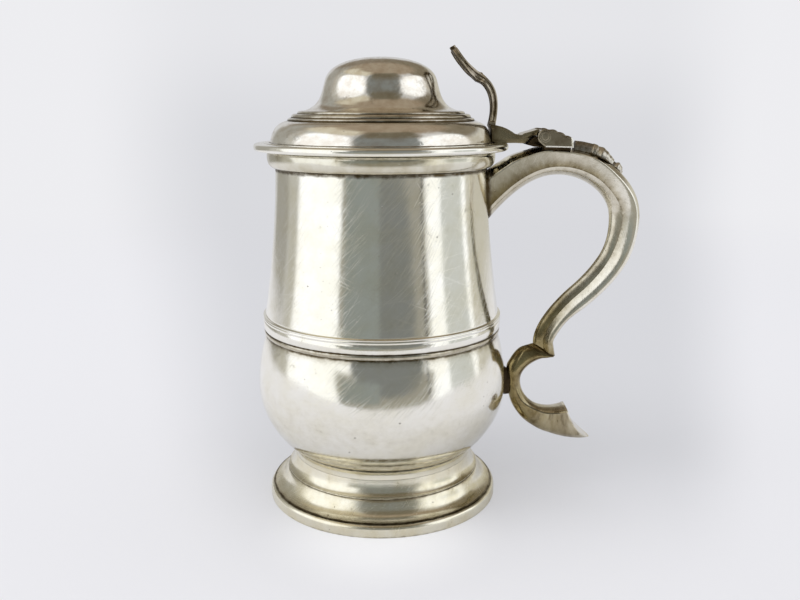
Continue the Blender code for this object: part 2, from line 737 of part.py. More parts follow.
def thumbpiece():
    """Pierced sheet that follows the thumb curve; each row has three bars that meet where nothing is cut."""
    bm = bmesh.new()
    thickness = bm.verts.layers.deform.verify()
    thickest = max(value for _, value in THUMB_THICKNESS)
    rows = []
    for place in steps_between(0, len(THUMB_CURVE), THUMB_ROWS):
        point, _ = curve_frame(THUMB_CURVE, place)
        half = table_value(THUMB_HALF_WIDTH, place)
        slot = 0.0
        for low, high, width in THUMB_PIERCINGS:
            if low < place < high:
                slot = width * math.sqrt(math.sin(math.pi * (place - low) / (high - low)))
        middle = half * 0.5
        columns = (-half, -middle - slot / 2, -middle + slot / 2, middle - slot / 2, middle + slot / 2, half)
        row = [bm.verts.new((point.x, across, point.y)) for across in columns]
        for vert in row:
            vert[thickness][0] = table_value(THUMB_THICKNESS, place) / thickest
        rows.append(row)
    for row, after in zip(rows, rows[1:]):
        for left in (0, 2, 4):
            bm.faces.new((row[left], row[left + 1], after[left + 1], after[left]))
    item = new_object("thumbpiece", bm, TARNISHED)
    item.vertex_groups.new(name="thickness")
    sheet = item.modifiers.new("thickness", "SOLIDIFY")
    sheet.thickness = thickest * MM
    sheet.vertex_group = "thickness"
    sheet.offset = 0.0
    sheet.use_even_offset = False
    return item


# Assembly


def vessel_cutters():
    """Solids a little larger than the upper vessel and the belly, which shape what meets them."""
    crest = MOUTH_TOP + WALL
    rim = rim_band_curve(GAP)
    drum = [point for point in drum_curve(GAP) if point[1] < RIM_BAND_BASE - 2 * GAP]
    upper = [(0.0, crest), (rim[0][0], crest)] + rim + drum + [(0.0, WAIST_TOP)]
    belly = belly_curve(GAP)
    lower = [(0.0, belly[0][1])] + belly + [(0.0, belly[-1][1])]
    return turned("upper_vessel_cutter", upper), turned("belly_cutter", lower)


def pin_bore_cutter():
    bore = PIN_RADIUS + GAP
    outline = [(0.0, CUTTER_REACH), (bore, CUTTER_REACH), (bore, -CUTTER_REACH), (0.0, -CUTTER_REACH)]
    return turned("pin_bore_cutter", outline, None, SMALL_SEGMENTS, hinge_place())


def fixed_pieces():
    vessel_cutter, belly_cutter = vessel_cutters()
    scroll_cutter = scroll_solid("scroll_cutter", GAP)
    bore_cutter = pin_bore_cutter()
    pieces = [vessel_body(), mouth_rim_band(), girdle_band()]
    pieces += [foot_collar(), foot_pedestal(), foot_rim_wire()]
    pieces += handle_pieces(vessel_cutter, scroll_cutter)
    pieces += scroll_pieces()
    pieces += [handle_lower_pad(belly_cutter, scroll_cutter), handle_leaf_drop(), hinge_saddle()]
    for name, side in (("hinge_end_plate_near", -1), ("hinge_end_plate_far", 1)):
        pieces.append(hinge_end_plate(name, side, bore_cutter))
    for name, index in (("hinge_knuckle_near", 0), ("hinge_knuckle_centre", 2), ("hinge_knuckle_far", 4)):
        pieces.append(knuckle(name, index, TARNISHED))
    return pieces + [hinge_pin()]


def lid_pieces():
    pieces = [lid_dome(), lid_rim_wire(), lid_bezel(), lid_hinge_strap(), thumbpiece()]
    for name, index in (("lid_knuckle_near", 1), ("lid_knuckle_far", 3)):
        pieces.append(knuckle(name, index, TARNISHED))
    return pieces


def new_empty(name, location):
    empty = bpy.data.objects.new(name, None)
    empty.location = location
    bpy.context.scene.collection.objects.link(empty)
    return empty


def hang(items, empty):
    for item in items:
        item.parent = empty
        item.location = -empty.location


def middle_x(items):
    """Middle of the pieces along X, from their finished meshes."""
    bpy.context.view_layer.update()
    graph = bpy.context.evaluated_depsgraph_get()
    places = []
    for item in items:
        finished = item.evaluated_get(graph)
        places += [vert.co.x for vert in finished.to_mesh().vertices]
        finished.to_mesh_clear()
    return (min(places) + max(places)) / 2


def main():
    clear_scene()
    fixed = fixed_pieces()
    lid = lid_pieces()
    cutters = [item for item in bpy.data.objects if item.hide_render]
    shift = middle_x(fixed + lid)
    root = new_empty("tankard", (0, 0, 0))
    hinge = new_empty("lid_hinge_axis", (HINGE_X * MM, 0, HINGE_Z * MM))
    hang(fixed + cutters, root)
    hang(lid, hinge)
    hinge.parent = root
    root.location.x = -shift
    bpy.context.view_layer.update()
    print(f"vessel axis at x = {-shift:.6f} m")
    print(f"hinge axis at x = {HINGE_X * MM - shift:.6f} m, z = {HINGE_Z * MM:.6f} m")


main()
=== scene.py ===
"""Looks of the lidded silver tankard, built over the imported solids.

Sizes are in millimetres about the vessel's own axis, as in the part's source, and go into the
meshes in metres. Each turned, swept or cast piece is made again with a finer surface and stands
for its solid.
"""

import json
import math

import bmesh
import bpy
import numpy as np
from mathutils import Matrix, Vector


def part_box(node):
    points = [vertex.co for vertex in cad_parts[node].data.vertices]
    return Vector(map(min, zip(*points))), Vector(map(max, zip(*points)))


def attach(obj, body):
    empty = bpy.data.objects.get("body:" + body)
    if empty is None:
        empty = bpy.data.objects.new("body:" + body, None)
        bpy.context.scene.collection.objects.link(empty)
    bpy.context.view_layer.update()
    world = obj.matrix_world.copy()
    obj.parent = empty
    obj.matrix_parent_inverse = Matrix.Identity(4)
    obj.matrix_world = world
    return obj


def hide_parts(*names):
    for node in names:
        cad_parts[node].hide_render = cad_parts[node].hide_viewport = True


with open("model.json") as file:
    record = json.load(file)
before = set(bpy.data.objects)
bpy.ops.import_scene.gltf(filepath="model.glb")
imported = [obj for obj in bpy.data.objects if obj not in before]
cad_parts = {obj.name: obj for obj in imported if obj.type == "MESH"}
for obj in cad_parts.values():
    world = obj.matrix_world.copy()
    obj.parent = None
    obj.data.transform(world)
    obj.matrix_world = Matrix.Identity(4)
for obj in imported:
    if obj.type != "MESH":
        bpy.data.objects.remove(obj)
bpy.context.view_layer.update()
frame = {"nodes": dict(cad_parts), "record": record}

MM = 0.001
SEGMENTS = 160
WELD = 0.002
AXIS_HOLE = 0.01
vessel_low, vessel_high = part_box("vessel_body")
AXIS_X = (vessel_low.x + vessel_high.x) / 2 / MM
BODY_OF = {node: body for body, nodes in frame["record"]["behaviour"]["bodies"].items() for node in nodes}

# Vessel: the drum above, the belly below, as (radius, height)
MOUTH_TOP = 160.7
MOUTH_RADIUS = 47.1
WALL = 1.0
FLOOR_RING = 20.0
DRUM_TOP = 155.0
DRUM_PULLS = ((47.2, 132.0), (51.0, 104.0))
WAIST_TOP = 88.2
WAIST_RADIUS = 53.5
WAIST_BASE = 78.9
BELLY_RADIUS = 57.43
BELLY_HEIGHT = 54.2
BELLY_TOP_PULLS = ((55.5, 72.0), (BELLY_RADIUS, 64.0))
BELLY_LOW_PULLS = ((BELLY_RADIUS, 40.6), (48.2, 29.3))
VESSEL_BASE_RADIUS = 43.0
VESSEL_BASE = 25.9

# Bands on the vessel
RIM_INNER = MOUTH_RADIUS - 0.3
RIM_RADIUS = 50.65
RIM_LIP = 49.5
RIM_WIDEST = 158.8
RIM_TOP_PULLS = ((50.2, MOUTH_TOP), (RIM_RADIUS, 160.2))
RIM_PULLS = ((RIM_RADIUS, 156.9), (50.3, 154.4))
RIM_EDGE = (47.9, 153.7)
RIM_BASE = 153.3
RIM_CORNER = 0.4
GIRDLE_INNER = WAIST_RADIUS - 0.4
GIRDLE_EDGE = WAIST_RADIUS + 0.1
GIRDLE_RADIUS = 54.55
GIRDLE_TOP = 87.7
GIRDLE_TOP_PULLS = ((54.1, 88.0), (GIRDLE_RADIUS, 87.9))
GIRDLE_LINES = (87.2, 85.9)
GIRDLE_LINE_WIDTH = 0.5
GIRDLE_LINE_DEPTH = 0.16
GIRDLE_FACE_BASE = 83.4
GIRDLE_FACE_PULLS = ((GIRDLE_RADIUS, 82.4), (54.4, 81.9))
GIRDLE_GROOVE = (54.0, 81.45)
GIRDLE_REED_SWELL = 0.45
GIRDLE_FOOT = (53.8, 79.1)

# Foot
COLLAR_INNER = 40.0
COLLAR_RADIUS = 42.8
COLLAR_EDGE = 0.3
COLLAR_LIP = 0.1
COLLAR_HOLLOW = 0.35
COLLAR_BASE = 21.2
COLLAR_BASE_RADIUS = 41.7
COLLAR_FOOT = 0.5
PEDESTAL_INNER = 39.6
STEP_TOP_RADIUS = 41.6
STEP_PULLS = ((42.0, 19.2), (42.3, 15.6))
STEP_RADIUS = 44.6
STEP_HEIGHT = 14.2
STEP_LIP = 0.5
STEP_LIP_PULLS = ((45.1, 14.1), (45.0, 13.5))
SKIRT_RADIUS = 52.1
SKIRT_BASE = 5.7
SKIRT_EDGE = 0.3
SKIRT_PULLS = ((46.6, 12.4), (46.0, 7.4))
PEDESTAL_INSIDE = ((49.1, SKIRT_BASE), (45.0, 8.6), (43.2, 12.8), (42.2, 16.6))
FOOT_RADIUS = 53.5
FOOT_WIDEST = 3.2
FOOT_TOP = ((47.6, SKIRT_BASE), (SKIRT_RADIUS - 0.4, SKIRT_BASE - 0.05), (SKIRT_RADIUS, SKIRT_BASE - 0.25))
FOOT_PULLS = ((53.0, 5.1), (FOOT_RADIUS, 4.2))
FOOT_BASE = ((FOOT_RADIUS, FOOT_WIDEST - 0.2), (FOOT_RADIUS, 0), (47.5, 0))
FOOT_CORNER = 0.2

# Lid
LID_TOP = 201.0
DOME_PULLS = ((11.0, LID_TOP), (22.3, 198.5))
DOME_SHOULDER = (24.4, 191.5)
OGEE_PULLS = ((26.3, 186.0), (26.0, 180.0))
LID_GROOVES = ((35.0, 177.8), (37.0, 176.45), (39.7, 174.9), (41.2, 173.8))
REED_FULLNESS = 0.34
SHOULDER_PULLS = ((46.0, 173.2), (48.2, 169.4))
LID_SHOULDER = (48.9, 164.9)
LID_FOOT = (51.2, LID_SHOULDER[1] - 0.4)
LID_FOOT_PULLS = ((49.0, LID_FOOT[1]), (49.5, LID_FOOT[1]))
# Pulls, end and steps of each curve of the lid's inside, from its foot to its top
LID_INSIDE = (
    (((46.6, 169.5), (44.6, 172.2)), (41.4, 172.3), 12),
    (((24.0, 178.0), (24.6, 185.0)), (23.0, 191.0), 16),
    (((21.2, 197.2), (10.5, LID_TOP - WALL)), (0, LID_TOP - WALL), 16),
)
FLANGE_RADIUS = 56.3
FLANGE_WIDEST = 162.7
FLANGE_TOP = ((50.6, LID_FOOT[1] - 0.3), (51.3, LID_FOOT[1] - 0.15))
FLANGE_TOP_PULLS = ((55.6, 164.5), (FLANGE_RADIUS, 164.3))
FLANGE_LOW_PULLS = ((FLANGE_RADIUS, 161.7), (55.9, 161.15))
FLANGE_BASE = ((54.6, 161.1), (51.3, 161.0), (49.5, 161.0), (49.5, 163.2))
BEZEL = ((49.4, 162.6), (49.4, 161.3), (45.0, 161.3), (44.7, 155.5), (43.9, 155.5), (43.9, 162.6))
BEZEL_CORNER = 0.3

# Rings of tarnish, a few of them painted shade, then of golden patina, on turned pieces: radius, height,
# reach and depth
TURNED_WEAR_AND_SHADE = {
    "vessel": (
        (
            # The tarnish ring at radius 48.0 and the patina ring at 47.5 are painted shade on the belly's
            # underside above the foot
            (MOUTH_RADIUS, RIM_BASE, 1.1, 1.0), (WAIST_RADIUS, WAIST_BASE, 0.9, 0.8),
            (48.0, 29.5, 5.0, 0.3), (VESSEL_BASE_RADIUS, VESSEL_BASE, 1.2, 1.1),
        ),
        ((47.5, 29.2, 5.0, 0.42), (WAIST_RADIUS, WAIST_BASE, 2.6, 0.5), (57.0, 46.0, 13.0, 0.18)),
    ),
    "mouth_band": (
        # The ring at the band's top lip is painted shade under the lid's flange
        ((*RIM_EDGE, 0.8, 1.0), (RIM_LIP, MOUTH_TOP, 0.8, 0.6)), ((*RIM_EDGE, 3.0, 0.4),),
    ),
    "girdle": (((*GIRDLE_GROOVE, 0.6, 1.0), (*GIRDLE_FOOT, 0.6, 0.8)), ((54.1, 80.2, 1.4, 0.6),)),
    "collar": (((COLLAR_RADIUS - COLLAR_EDGE, VESSEL_BASE - COLLAR_LIP, 0.7, 0.9),), ()),
    "pedestal": (
        (
            (STEP_RADIUS - 0.2, STEP_HEIGHT - 0.8, 0.8, 0.85),
            (SKIRT_RADIUS - 0.2, SKIRT_BASE + 0.2, 0.75, 0.85),
        ),
        ((SKIRT_RADIUS, SKIRT_BASE, 4.5, 0.42), (STEP_RADIUS, STEP_HEIGHT, 2.4, 0.36)),
    ),
    "foot_ring": (((SKIRT_RADIUS - 0.2, FOOT_TOP[-1][1], 0.75, 0.85), (FOOT_RADIUS, 0, 0.25, 0.6)), ()),
    "lid": (
        (*((*groove, 0.72, 1.15) for groove in LID_GROOVES), (49.2, LID_FOOT[1], 0.5, 0.8)),
        ((38.0, 176.0, 4.0, 0.55), (26.0, 184.0, 4.0, 0.2)),
    ),
    "lid_wire": (((52.2, 161.0, 1.5, 0.8),), ()),
    "bezel": ((), ()),
}

# Handle: joined cubic curves of the seam between outer shell and inner strap, and sizes along it
HANDLE_SEAM = (
    ((45.0, 132.2), (55.3, 144.9), (66.5, 154.0), (78.8, 154.0)),
    ((78.8, 154.0), (93.2, 154.0), (106.8, 143.4), (106.8, 131.5)),
    ((106.8, 131.5), (106.8, 117.4), (97.7, 105.6), (88.4, 97.2)),
    ((88.4, 97.2), (82.3, 91.7), (71.2, 79.4), (72.7, 70.9)),
    ((72.7, 70.9), (73.1, 68.6), (73.5, 66.3), (73.9, 64.0)),
)
HANDLE_DEPTH = (
    (0, 13.8), (0.5, 11.4), (0.75, 9.9), (1, 7.7), (1.5, 8.8), (2, 9.8),
    (2.4, 10.6), (3, 9.8), (3.5, 8.1), (4, 7.4), (5, 7.4),
)
HANDLE_HALF_WIDTH = ((0, 7.8), (1, 7.4), (2, 5.8), (2.6, 5.6), (4, 4.6), (5, 4.6))
HANDLE_BULGE = ((0, 3.2), (1.9, 3.2), (2.5, 1.3), (5, 1.2))
HANDLE_SEAM_SHIFT = ((0, 0.0), (1.6, 0.0), (2.1, 1.6), (2.6, 2.4), (5, 2.4))
HANDLE_TAPER = ((0, 0.16), (1.5, 0.18), (2.0, 0.36), (2.4, 0.46), (5, 0.46))
HANDLE_WIDEST = (
    (0, 0.72), (0.5, 0.74), (0.75, 0.78), (0.93, 0.86), (1.2, 0.82), (1.6, 0.66), (2.1, 0.46), (5, 0.46),
)
HANDLE_CHAMFER = (
    (0, 0.74), (0.5, 0.76), (0.75, 0.80), (0.93, 0.88), (1.2, 0.84), (1.6, 0.72), (2.1, 0.8), (5, 0.82),
)
HANDLE_ROUNDING = ((0, 3.0), (0.7, 2.6), (1.0, 1.4), (1.3, 0.7), (1.8, 1.0), (2.2, 1.9), (5, 1.7))
HANDLE_LEAN = ((0, -0.02), (1.7, -0.02), (2.2, 0.05), (5, 0.07))
HANDLE_SHAPE = (HANDLE_TAPER, HANDLE_WIDEST, HANDLE_CHAMFER, HANDLE_ROUNDING, HANDLE_LEAN)
HANDLE_END_CUT = ((71.0, 69.5), (80.4, 66.3))
HANDLE_SUNK = 0.5
SHELL_STEPS = 80
CHAMFER_SHARE = 0.5
CHAMFER_HEIGHT = 0.96
STRAP_EDGE = 0.7
STRAP_LIP = 0.3
STRAP_INSET = 0.35

# Wear of the handle: values along it, columns counted from the seam, and reach and depth at its joints
HANDLE_PATINA = (
    (0, 0.5), (0.6, 0.29), (1.2, 0.28), (1.9, 0.08), (2.8, 0.1), (3.6, 0.4), (4, 0.75), (5, 0.9),
)
STRAP_PATINA = ((0, 0.5), (1, 0.36), (2, 0.42), (2.8, 0.55), (3.6, 0.9), (5, 1.0))
SEAM_TARNISH = ((0, 0.5), (1.9, 0.5), (2.6, 0.3), (5, 0.3))
SEAM_TARNISH_COLUMNS = 3.0
SEAM_GOLD_COLUMNS = 9.0
BACK_COLUMN = 24
BACK_RUBBED = ((0, 1.0), (0.8, 1.0), (1.2, 0.5), (2, 0.2), (5, 0.0))
HANDLE_JOINTS = (1.8, 0.7, 1.0)
SCROLL_JOINTS = (2.6, 0.8, 0.8)

# Lower scroll and its tail
SCROLL_SEAM = (
    ((80.0, 66.5), (72.5, 66.0), (64.0, 61.0), (64.0, 53.8)),
    ((64.0, 53.8), (64.0, 46.0), (71.0, 38.9), (79.5, 38.9)),
    ((79.5, 38.9), (85.5, 38.9), (92.5, 41.5), (98.0, 45.0)),
)
SCROLL_TIP = 0.5
SCROLL_DEPTH = (
    (0, 0.8), (0.33, 7.3), (0.5, 8.2), (0.75, 7.2), (1, 4.8), (1.2, 5.3),
    (1.5, 7.0), (1.8, 9.2), (2, 11.4), (2.5, 16.7), (3, 20.2),
)
SCROLL_TAIL_FROM = 1.2
SCROLL_HALF_WIDTH = ((0, 4.9), (1, 4.8), (1.5, 5.6), (2, 7.0), (2.5, 8.3), (3, 8.8))
SCROLL_BULGE = 0.5
SCROLL_SEAM_SHIFT = ((0, 0.0), (0.12, 0.0), (0.33, 1.7), (1.3, 1.7), (1.8, 0.4), (3, 0.0))
SCROLL_TAIL = ((0, 0.0), (1.5, 0.0), (2.4, 0.65), (3, 0.8))
SCROLL_TAPER = 0.12
# Where the flat sides are widest and begin their chamfer, then rounding and lean
SCROLL_FLAT_SIDES = (0.55, 0.75, 1.6, -0.02)
SCROLL_PATINA = ((0, 1.1), (1.3, 1.1), (2.0, 0.7), (3, 0.3))
SCROLL_STRAP_PATINA = ((0, 1.0), (1.3, 0.8), (1.9, 0.5), (3, 0.4))
TAIL_CENTRE = (111.2, 47.4)
TAIL_RADIUS = 25.1
TAIL_PLATE = 1.0

# Solder joint between belly and scroll
PAD_NEAR = BELLY_RADIUS - 1.0
PAD_FAR = 61.5
PAD_MIDDLE = 53.4
PAD_HALF_HEIGHT = 7.6
PAD_HALF_WIDTH = 3.4
PAD_WAIST = 0.86
PAD_RIPPLE = 0.05
PAD_RIPPLES = 5
PAD_TWIST = 9

# Leaf drop on the handle's back: place along the seam, half width and height of each station
LEAF_STATIONS = (
    (1.125, 3.4, 3.9), (1.20, 3.4, 4.1), (1.26, 3.3, 4.2), (1.275, 4.2, 4.5), (1.30, 4.2, 4.5),
    (1.315, 3.4, 4.2), (1.35, 5.0, 4.6), (1.39, 4.9, 4.0), (1.43, 4.4, 3.1), (1.47, 3.5, 2.5),
    (1.485, 2.3, 1.8), (1.50, 2.3, 1.8), (1.525, 3.1, 2.8), (1.56, 2.7, 2.3), (1.60, 0.9, 0.9),
)
LEAF_SUNK = 0.4
LEAF_MIDDLE = 1.40
LEAF_REACH = 0.085
LEAF_VEINS = 2.5
LEAF_VEIN_DEPTH = 0.16
LEAF_VEIN_TARNISH = 0.7
LEAF_EDGE_TARNISH = 0.9
LEAF_EDGE_ANGLE = 0.2
LEAF_STALK_END = 1.268
LEAF_STALK_TARNISH = 0.62
LEAF_NECK = 1.49
LEAF_NECK_REACH = 0.014
LEAF_NECK_TARNISH = 0.8
LEAF_PATINA = 0.1

# Hinge: the axis runs along Y
HINGE_X = 71.0
HINGE_Z = 167.1
KNUCKLE_RADIUS = 2.7
KNUCKLE_BORE = 1.1
KNUCKLE_CORNER = 0.35
KNUCKLE_GAP = 0.3
KNUCKLES = (
    "hinge_knuckle_near", "lid_knuckle_near", "hinge_knuckle_centre", "lid_knuckle_far", "hinge_knuckle_far",
)
BARREL_HALF = 10.6
SADDLE_END = 83.4
SADDLE_BASE_REACH = 0.1
SADDLE_DEEPER = 0.7
SADDLE_CORNER = 0.25
PLATE_INNER = BARREL_HALF + KNUCKLE_GAP
PLATE_THICKNESS = 1.6
PLATE_OUTER = PLATE_INNER + PLATE_THICKNESS
PLATE_CORNERS = ((71.2, 162.8), (SADDLE_END, 162.5))
PLATE_STEPS = ((82.9, 166.1), (79.7, 167.7), (76.3, 169.2), (73.0, 170.2))
PLATE_HOLLOW = 0.5
PLATE_NOSE = (3.3, 85, 215, 24)
PLATE_BREAK = 0.25
PLATE_SINK = 0.22
# Below and beyond these the plate's outer border is lighter, worn and a painted highlight
PLATE_WORN_LIT_LOW = PLATE_CORNERS[0][1] + 0.6
PLATE_WORN_LIT_FAR = SADDLE_END - 1.2
# How far in from the outline and how far across each ring of the end plate lies
PLATE_LAYERS = (
    (PLATE_BREAK, PLATE_INNER), (0.0, PLATE_INNER + PLATE_BREAK),
    (0.0, PLATE_OUTER - 0.4), (0.4, PLATE_OUTER - 0.05), (0.5, PLATE_OUTER),
    (0.65, PLATE_OUTER), (0.85, PLATE_OUTER - PLATE_SINK),
)
# Radius and height over the end plate of each ring of the pin's head
PIN_HEAD = (
    (0.02, 0.1), (1.0, 0.09), (1.35, 0.06), (1.5, -0.05), (1.7, -0.05),
    (1.85, 0.02), (2.15, 0.0), (2.3, -0.1), (2.3, -0.6), (1.0, -0.7),
)
# Cradle under the knuckles, near-black as painted shade in the gap under the strap
CRADLE = (
    (63.3, 163.75), (66.3, 166.3), (67.8, 166.6), (68.6, 165.2), (70.0, 164.2), (71.2, 164.0),
    (71.2, 162.7), (66.5, 162.9),
)
# Side of the lid's strap, from its foot on the lid to the knuckles
CHEEK = (
    (48.3, 170.4), (49.6, 171.3), (52.0, 170.9), (53.9, 169.9), (56.6, 168.2), (59.2, 167.3), (61.6, 166.9),
    (64.4, 166.4), (64.8, 165.7), (63.0, 164.4), (59.3, 164.4), (54.6, 164.3), (51.2, 164.2), (48.4, 165.0),
)
CHEEK_HALF = 8.3
CHEEK_CORNER = 0.4
# Past this and above this slope the strap's faces are lighter, worn and a painted highlight
STRAP_WORN_LIT_FROM = 61.5
STRAP_WORN_LIT_SLOPE = 0.4
STRAP_FOOT = 48.0
STRAP_FOOT_REACH = 3.5
STRAP_FOOT_TARNISH = 0.75
STRAP_GOLD = 0.35

# Thumbpiece: two curves up from the strap, the thickness along them, and bars as (place, across)
THUMB_CURVE = (
    ((48.9, 172.5), (50.7, 181.0), (49.5, 188.6), (43.3, 192.0)),
    ((43.3, 192.0), (38.1, 194.9), (33.5, 200.6), (30.9, 205.4)),
)
THUMB_DEPTH = ((0, 2.9), (0.3, 2.9), (0.85, 3.0), (1.04, 4.1), (1.2, 3.3), (1.55, 2.5), (1.8, 2.5), (2, 2.7))
THUMB_STEM = ((-0.02, 3.0), (0.2, 2.2), (0.55, 3.9), (0.85, 4.5), (0.97, 3.3), (1.06, 2.0))
THUMB_SCROLL = (
    (1.02, 1.6), (1.16, 3.9), (1.36, 6.6), (1.56, 7.6), (1.76, 6.9), (1.86, 5.2), (1.82, 3.7), (1.72, 3.9),
)
THUMB_PLUME = ((1.0, 0.0), (1.4, 0.0), (1.7, 0.0), (1.995, 0.0))
THUMB_PLUME_SIDES = (-0.45, 0.5)
THUMB_WEB = ((0.0, 0.0), (0.5, 0.0), (1.02, 0.0))
THUMB_WEB_SIDES = (-0.4, 0.4)
# Half widths of the bars at their start, and what they gain or lose on the way
THUMB_STEM_HALF = 1.2
THUMB_SCROLL_HALF = 1.25
THUMB_SCROLL_NARROWS = 0.3
THUMB_PLUME_HALF = 1.2
THUMB_PLUME_FLARE = 2.2
THUMB_WEB_HALF = 1.5
THUMB_WEB_WAIST = 0.7
# Low and high side in shares of the thickness, and width, of the bars' raised and sunk layers
THUMB_LAYERS = ((0.14, 0.5, 1.0), (-0.5, -0.14, 0.97), (-0.3, 0.3, 0.72))
# Points at the scroll's end that its low layer lacks
LOW_LAYER_SHORTER = 14
# Place, reach, half width, low and high side of the knot, the link of the scrolls and the foot
THUMB_CROSSBARS = ((1.04, 3.7, 0.9, -0.52, 0.55), (1.88, 5.4, 0.8, 0.0, 0.45), (0.0, 4.3, 0.9, -0.5, 0.5))
BAR_SIDES = 16
BAR_SQUARENESS = 0.55
THUMB_GRAIN = 0.2
# Tarnish in the thumbpiece's hollows, and painted shade on its faces turned away from the lit direction
LIT_FACING = (0.8, 0.0, 0.6)
HOLLOW_TARNISH = 14
UNDERSIDE_SHADE = 0.34

# Wear of the metal: angle, length, width and threshold of each family of scratches
SCRATCH_LAYERS = (
    (-42.0, 46.0, 0.26, 0.64), (24.0, 38.0, 0.26, 0.67), (-62.0, 52.0, 0.28, 0.64),
    (-8.0, 34.0, 0.26, 0.68), (58.0, 30.0, 0.26, 0.69), (-52.0, 60.0, 0.26, 0.63),
)
SCRATCH_SOFT = 0.1
# Length, width and angle of the cells of each kind of unevenness
HATCH_CELL = (9.0, 0.45, -56.0)
RING_CELL = (45.0, 0.55)
GRIME_CELL = (3.2,)
PIT_CELL = (1.4,)
BLOTCH_CELL = (7.0,)
SWING_CELL = (16.0,)
RIPPLE_CELL = (4.5,)
GRIME_SHARE = 0.9
RING_SHARE = 0.8
GOLD_GRIME_SHARE = 0.5
PIT_BROWN = 0.6
# Noise levels between which each kind of wear comes in
PATCH_RISE = (0.36, 0.66)
PIT_RISE = (0.83, 0.88)
HATCH_RISE = (0.5, 0.75)
BROWN_RISE = (0.2, 0.9)
BLOTCH_LEVEL = 0.62
BLOTCH_RISE = 0.2
BLOTCH_BROWN = 0.5
BROWN = (0.09, 0.064, 0.029)
PATINA_LIGHT = (0.37, 0.30, 0.15)
PATINA_DARK = (0.20, 0.15, 0.065)

# Studio
DEGREES = 180 / math.pi
EVEN_LIGHT = (0.87, 0.87, 0.89)
BACKDROP = (0.63, 0.63, 0.64)
LEFT_PANEL = (1.16, 1.18, 1.22)
RIGHT_PANEL = (1.13, 1.15, 1.18)
# Colour, low and high azimuth, low and high elevation, and softness of each patch that metal sees
STUDIO_PATCHES = (
    ((0.24, 0.205, 0.16), (-200, -118), (25, 70), 20, 7),
    ((0.22, 0.19, 0.145), (118, 200), (25, 70), 20, 7),
    ((0.36, 0.35, 0.32), (-150, -112), (-60, 60), 12, 12),
    ((0.50, 0.49, 0.45), (-112, -94), (-60, 60), 12, 12),
    ((0.57, 0.55, 0.485), (96, 168), (-60, 22), 10, 10),
    ((0.21, 0.18, 0.13), (86, 172), (22, 90), 14, 10),
    ((0.34, 0.28, 0.21), (-190, 190), (50, 120), 5, 12),
    ((0.62, 0.57, 0.46), (-125, -30), (44, 66), 14, 9),
    (LEFT_PANEL, (-94, -41), (-26, 14), 9, 14),
    (RIGHT_PANEL, (46, 100), (-26, 12), 4, 14),
)
# Colour, middle, reach, softness and upper limit of the panels' round tops, the room's border and the room
ROOM_PATCHES = (
    (LEFT_PANEL, (-64, 16), (35, 28), 0.3, 80),
    (RIGHT_PANEL, (72, 14), (32, 25), 0.3, 80),
    ((0.35, 0.34, 0.30), (3.5, 22), (47, 44), 0.12, 8),
    ((0.205, 0.215, 0.21), (6.5, 28), (36, 32), 0.16, 80),
)
ROOM_ROUNDNESS = 2.7
ROOM_TOP_SOFT = 2
ROOM_DETAILS = (
    ((0.60, 0.62, 0.61), (65, 94), (-8, 11), 4, 8),
    ((0.27, 0.295, 0.285), (-36, -1), (-8, 5), 4, 3),
    ((0.16, 0.14, 0.10), (-22, 50), (36, 62), 12, 10),
    ((0.05, 0.05, 0.05), (42.5, 44.3), (-5, 24), 1.2, 5),
)
PALE = (0.85, 0.85, 0.875)
PALE_SHADE = (0.695, 0.70, 0.73)
# Slopes between which each side of the wedge of shade behind the object rises, and where it starts
SHADE_LEFT = (-0.37, -0.19)
SHADE_RIGHT = (0.28, 0.41)
SHADE_NEAREST = 0.05
SHADE_START = (0.15, 0.3)
SHADE_HEIGHTS = (-0.05, 0.09)
SHADE_ABOVE = 0.4

# Floor, lamp and camera; the floor and the lamp are in metres
FLOOR_HALF = 1.5
FLOOR_SHADE = (0.70, 0.705, 0.73)
FLOOR_SHADE_START = (-0.10, 0.06)
FLOOR_OWN = 0.4
FLOOR_FADE = (0.5, 1.3)
TABLE_END = (-0.345, -0.325)
# Painted pool of light on the floor in front of the foot: colour, middle and fade in metres
FOOT_GLOW = (1.22, 1.22, 1.22)
FOOT_GLOW_PLACE = (AXIS_X * MM, -0.045)
FOOT_GLOW_FADE = (0.012, 0.058)
LAMP_SIZE = 1.9
LAMP_POWER = 15.0
LAMP_PLACE = (-1.7, -0.8, 2.4)
LAMP_AIM = (0, 0, 0.08)
CAMERA_PLACE = (8.33, -387.6, 181.0)
CAMERA_LENS = 38.565
CAMERA_SENSOR = 36.0
CAMERA_TILT = math.pi / 2 - 0.225


# Curves in a plane


def cubic(knots, t):
    a, b, c, d = (Vector(knot) for knot in knots)
    u = 1 - t
    return u**3 * a + 3 * u * u * t * b + 3 * u * t * t * c + t**3 * d


def bezier(start, pulls, end, steps):
    """Points of one cubic curve, without its first point."""
    knots = (start, *pulls, end)
    return [tuple(cubic(knots, step / steps)) for step in range(1, steps + 1)]


def curve_on(points, pulls, end, steps):
    """Carries a line on by one cubic curve."""
    points.extend(bezier(points[-1], pulls, end, steps))


def left_of(way):
    return Vector((-way.y, way.x))


def swell(start, end, height, steps):
    """Points of a round swelling between two points, without the first, outward on the way down."""
    start = Vector(start)
    chord = Vector(end) - start
    outward = left_of(chord).normalized()
    points = []
    for step in range(1, steps + 1):
        t = step / steps
        points.append(tuple(start + chord * t + outward * height * 4 * t * (1 - t)))
    return points


def offset_line(points, distance):
    """The open line moved sideways, inward for a positive distance on the way down."""
    moved = []
    for index, point in enumerate(points):
        before = Vector(points[max(index - 1, 0)])
        after = Vector(points[min(index + 1, len(points) - 1)])
        along = (after - before).normalized()
        moved.append(tuple(Vector(point) - left_of(along) * distance))
    return moved


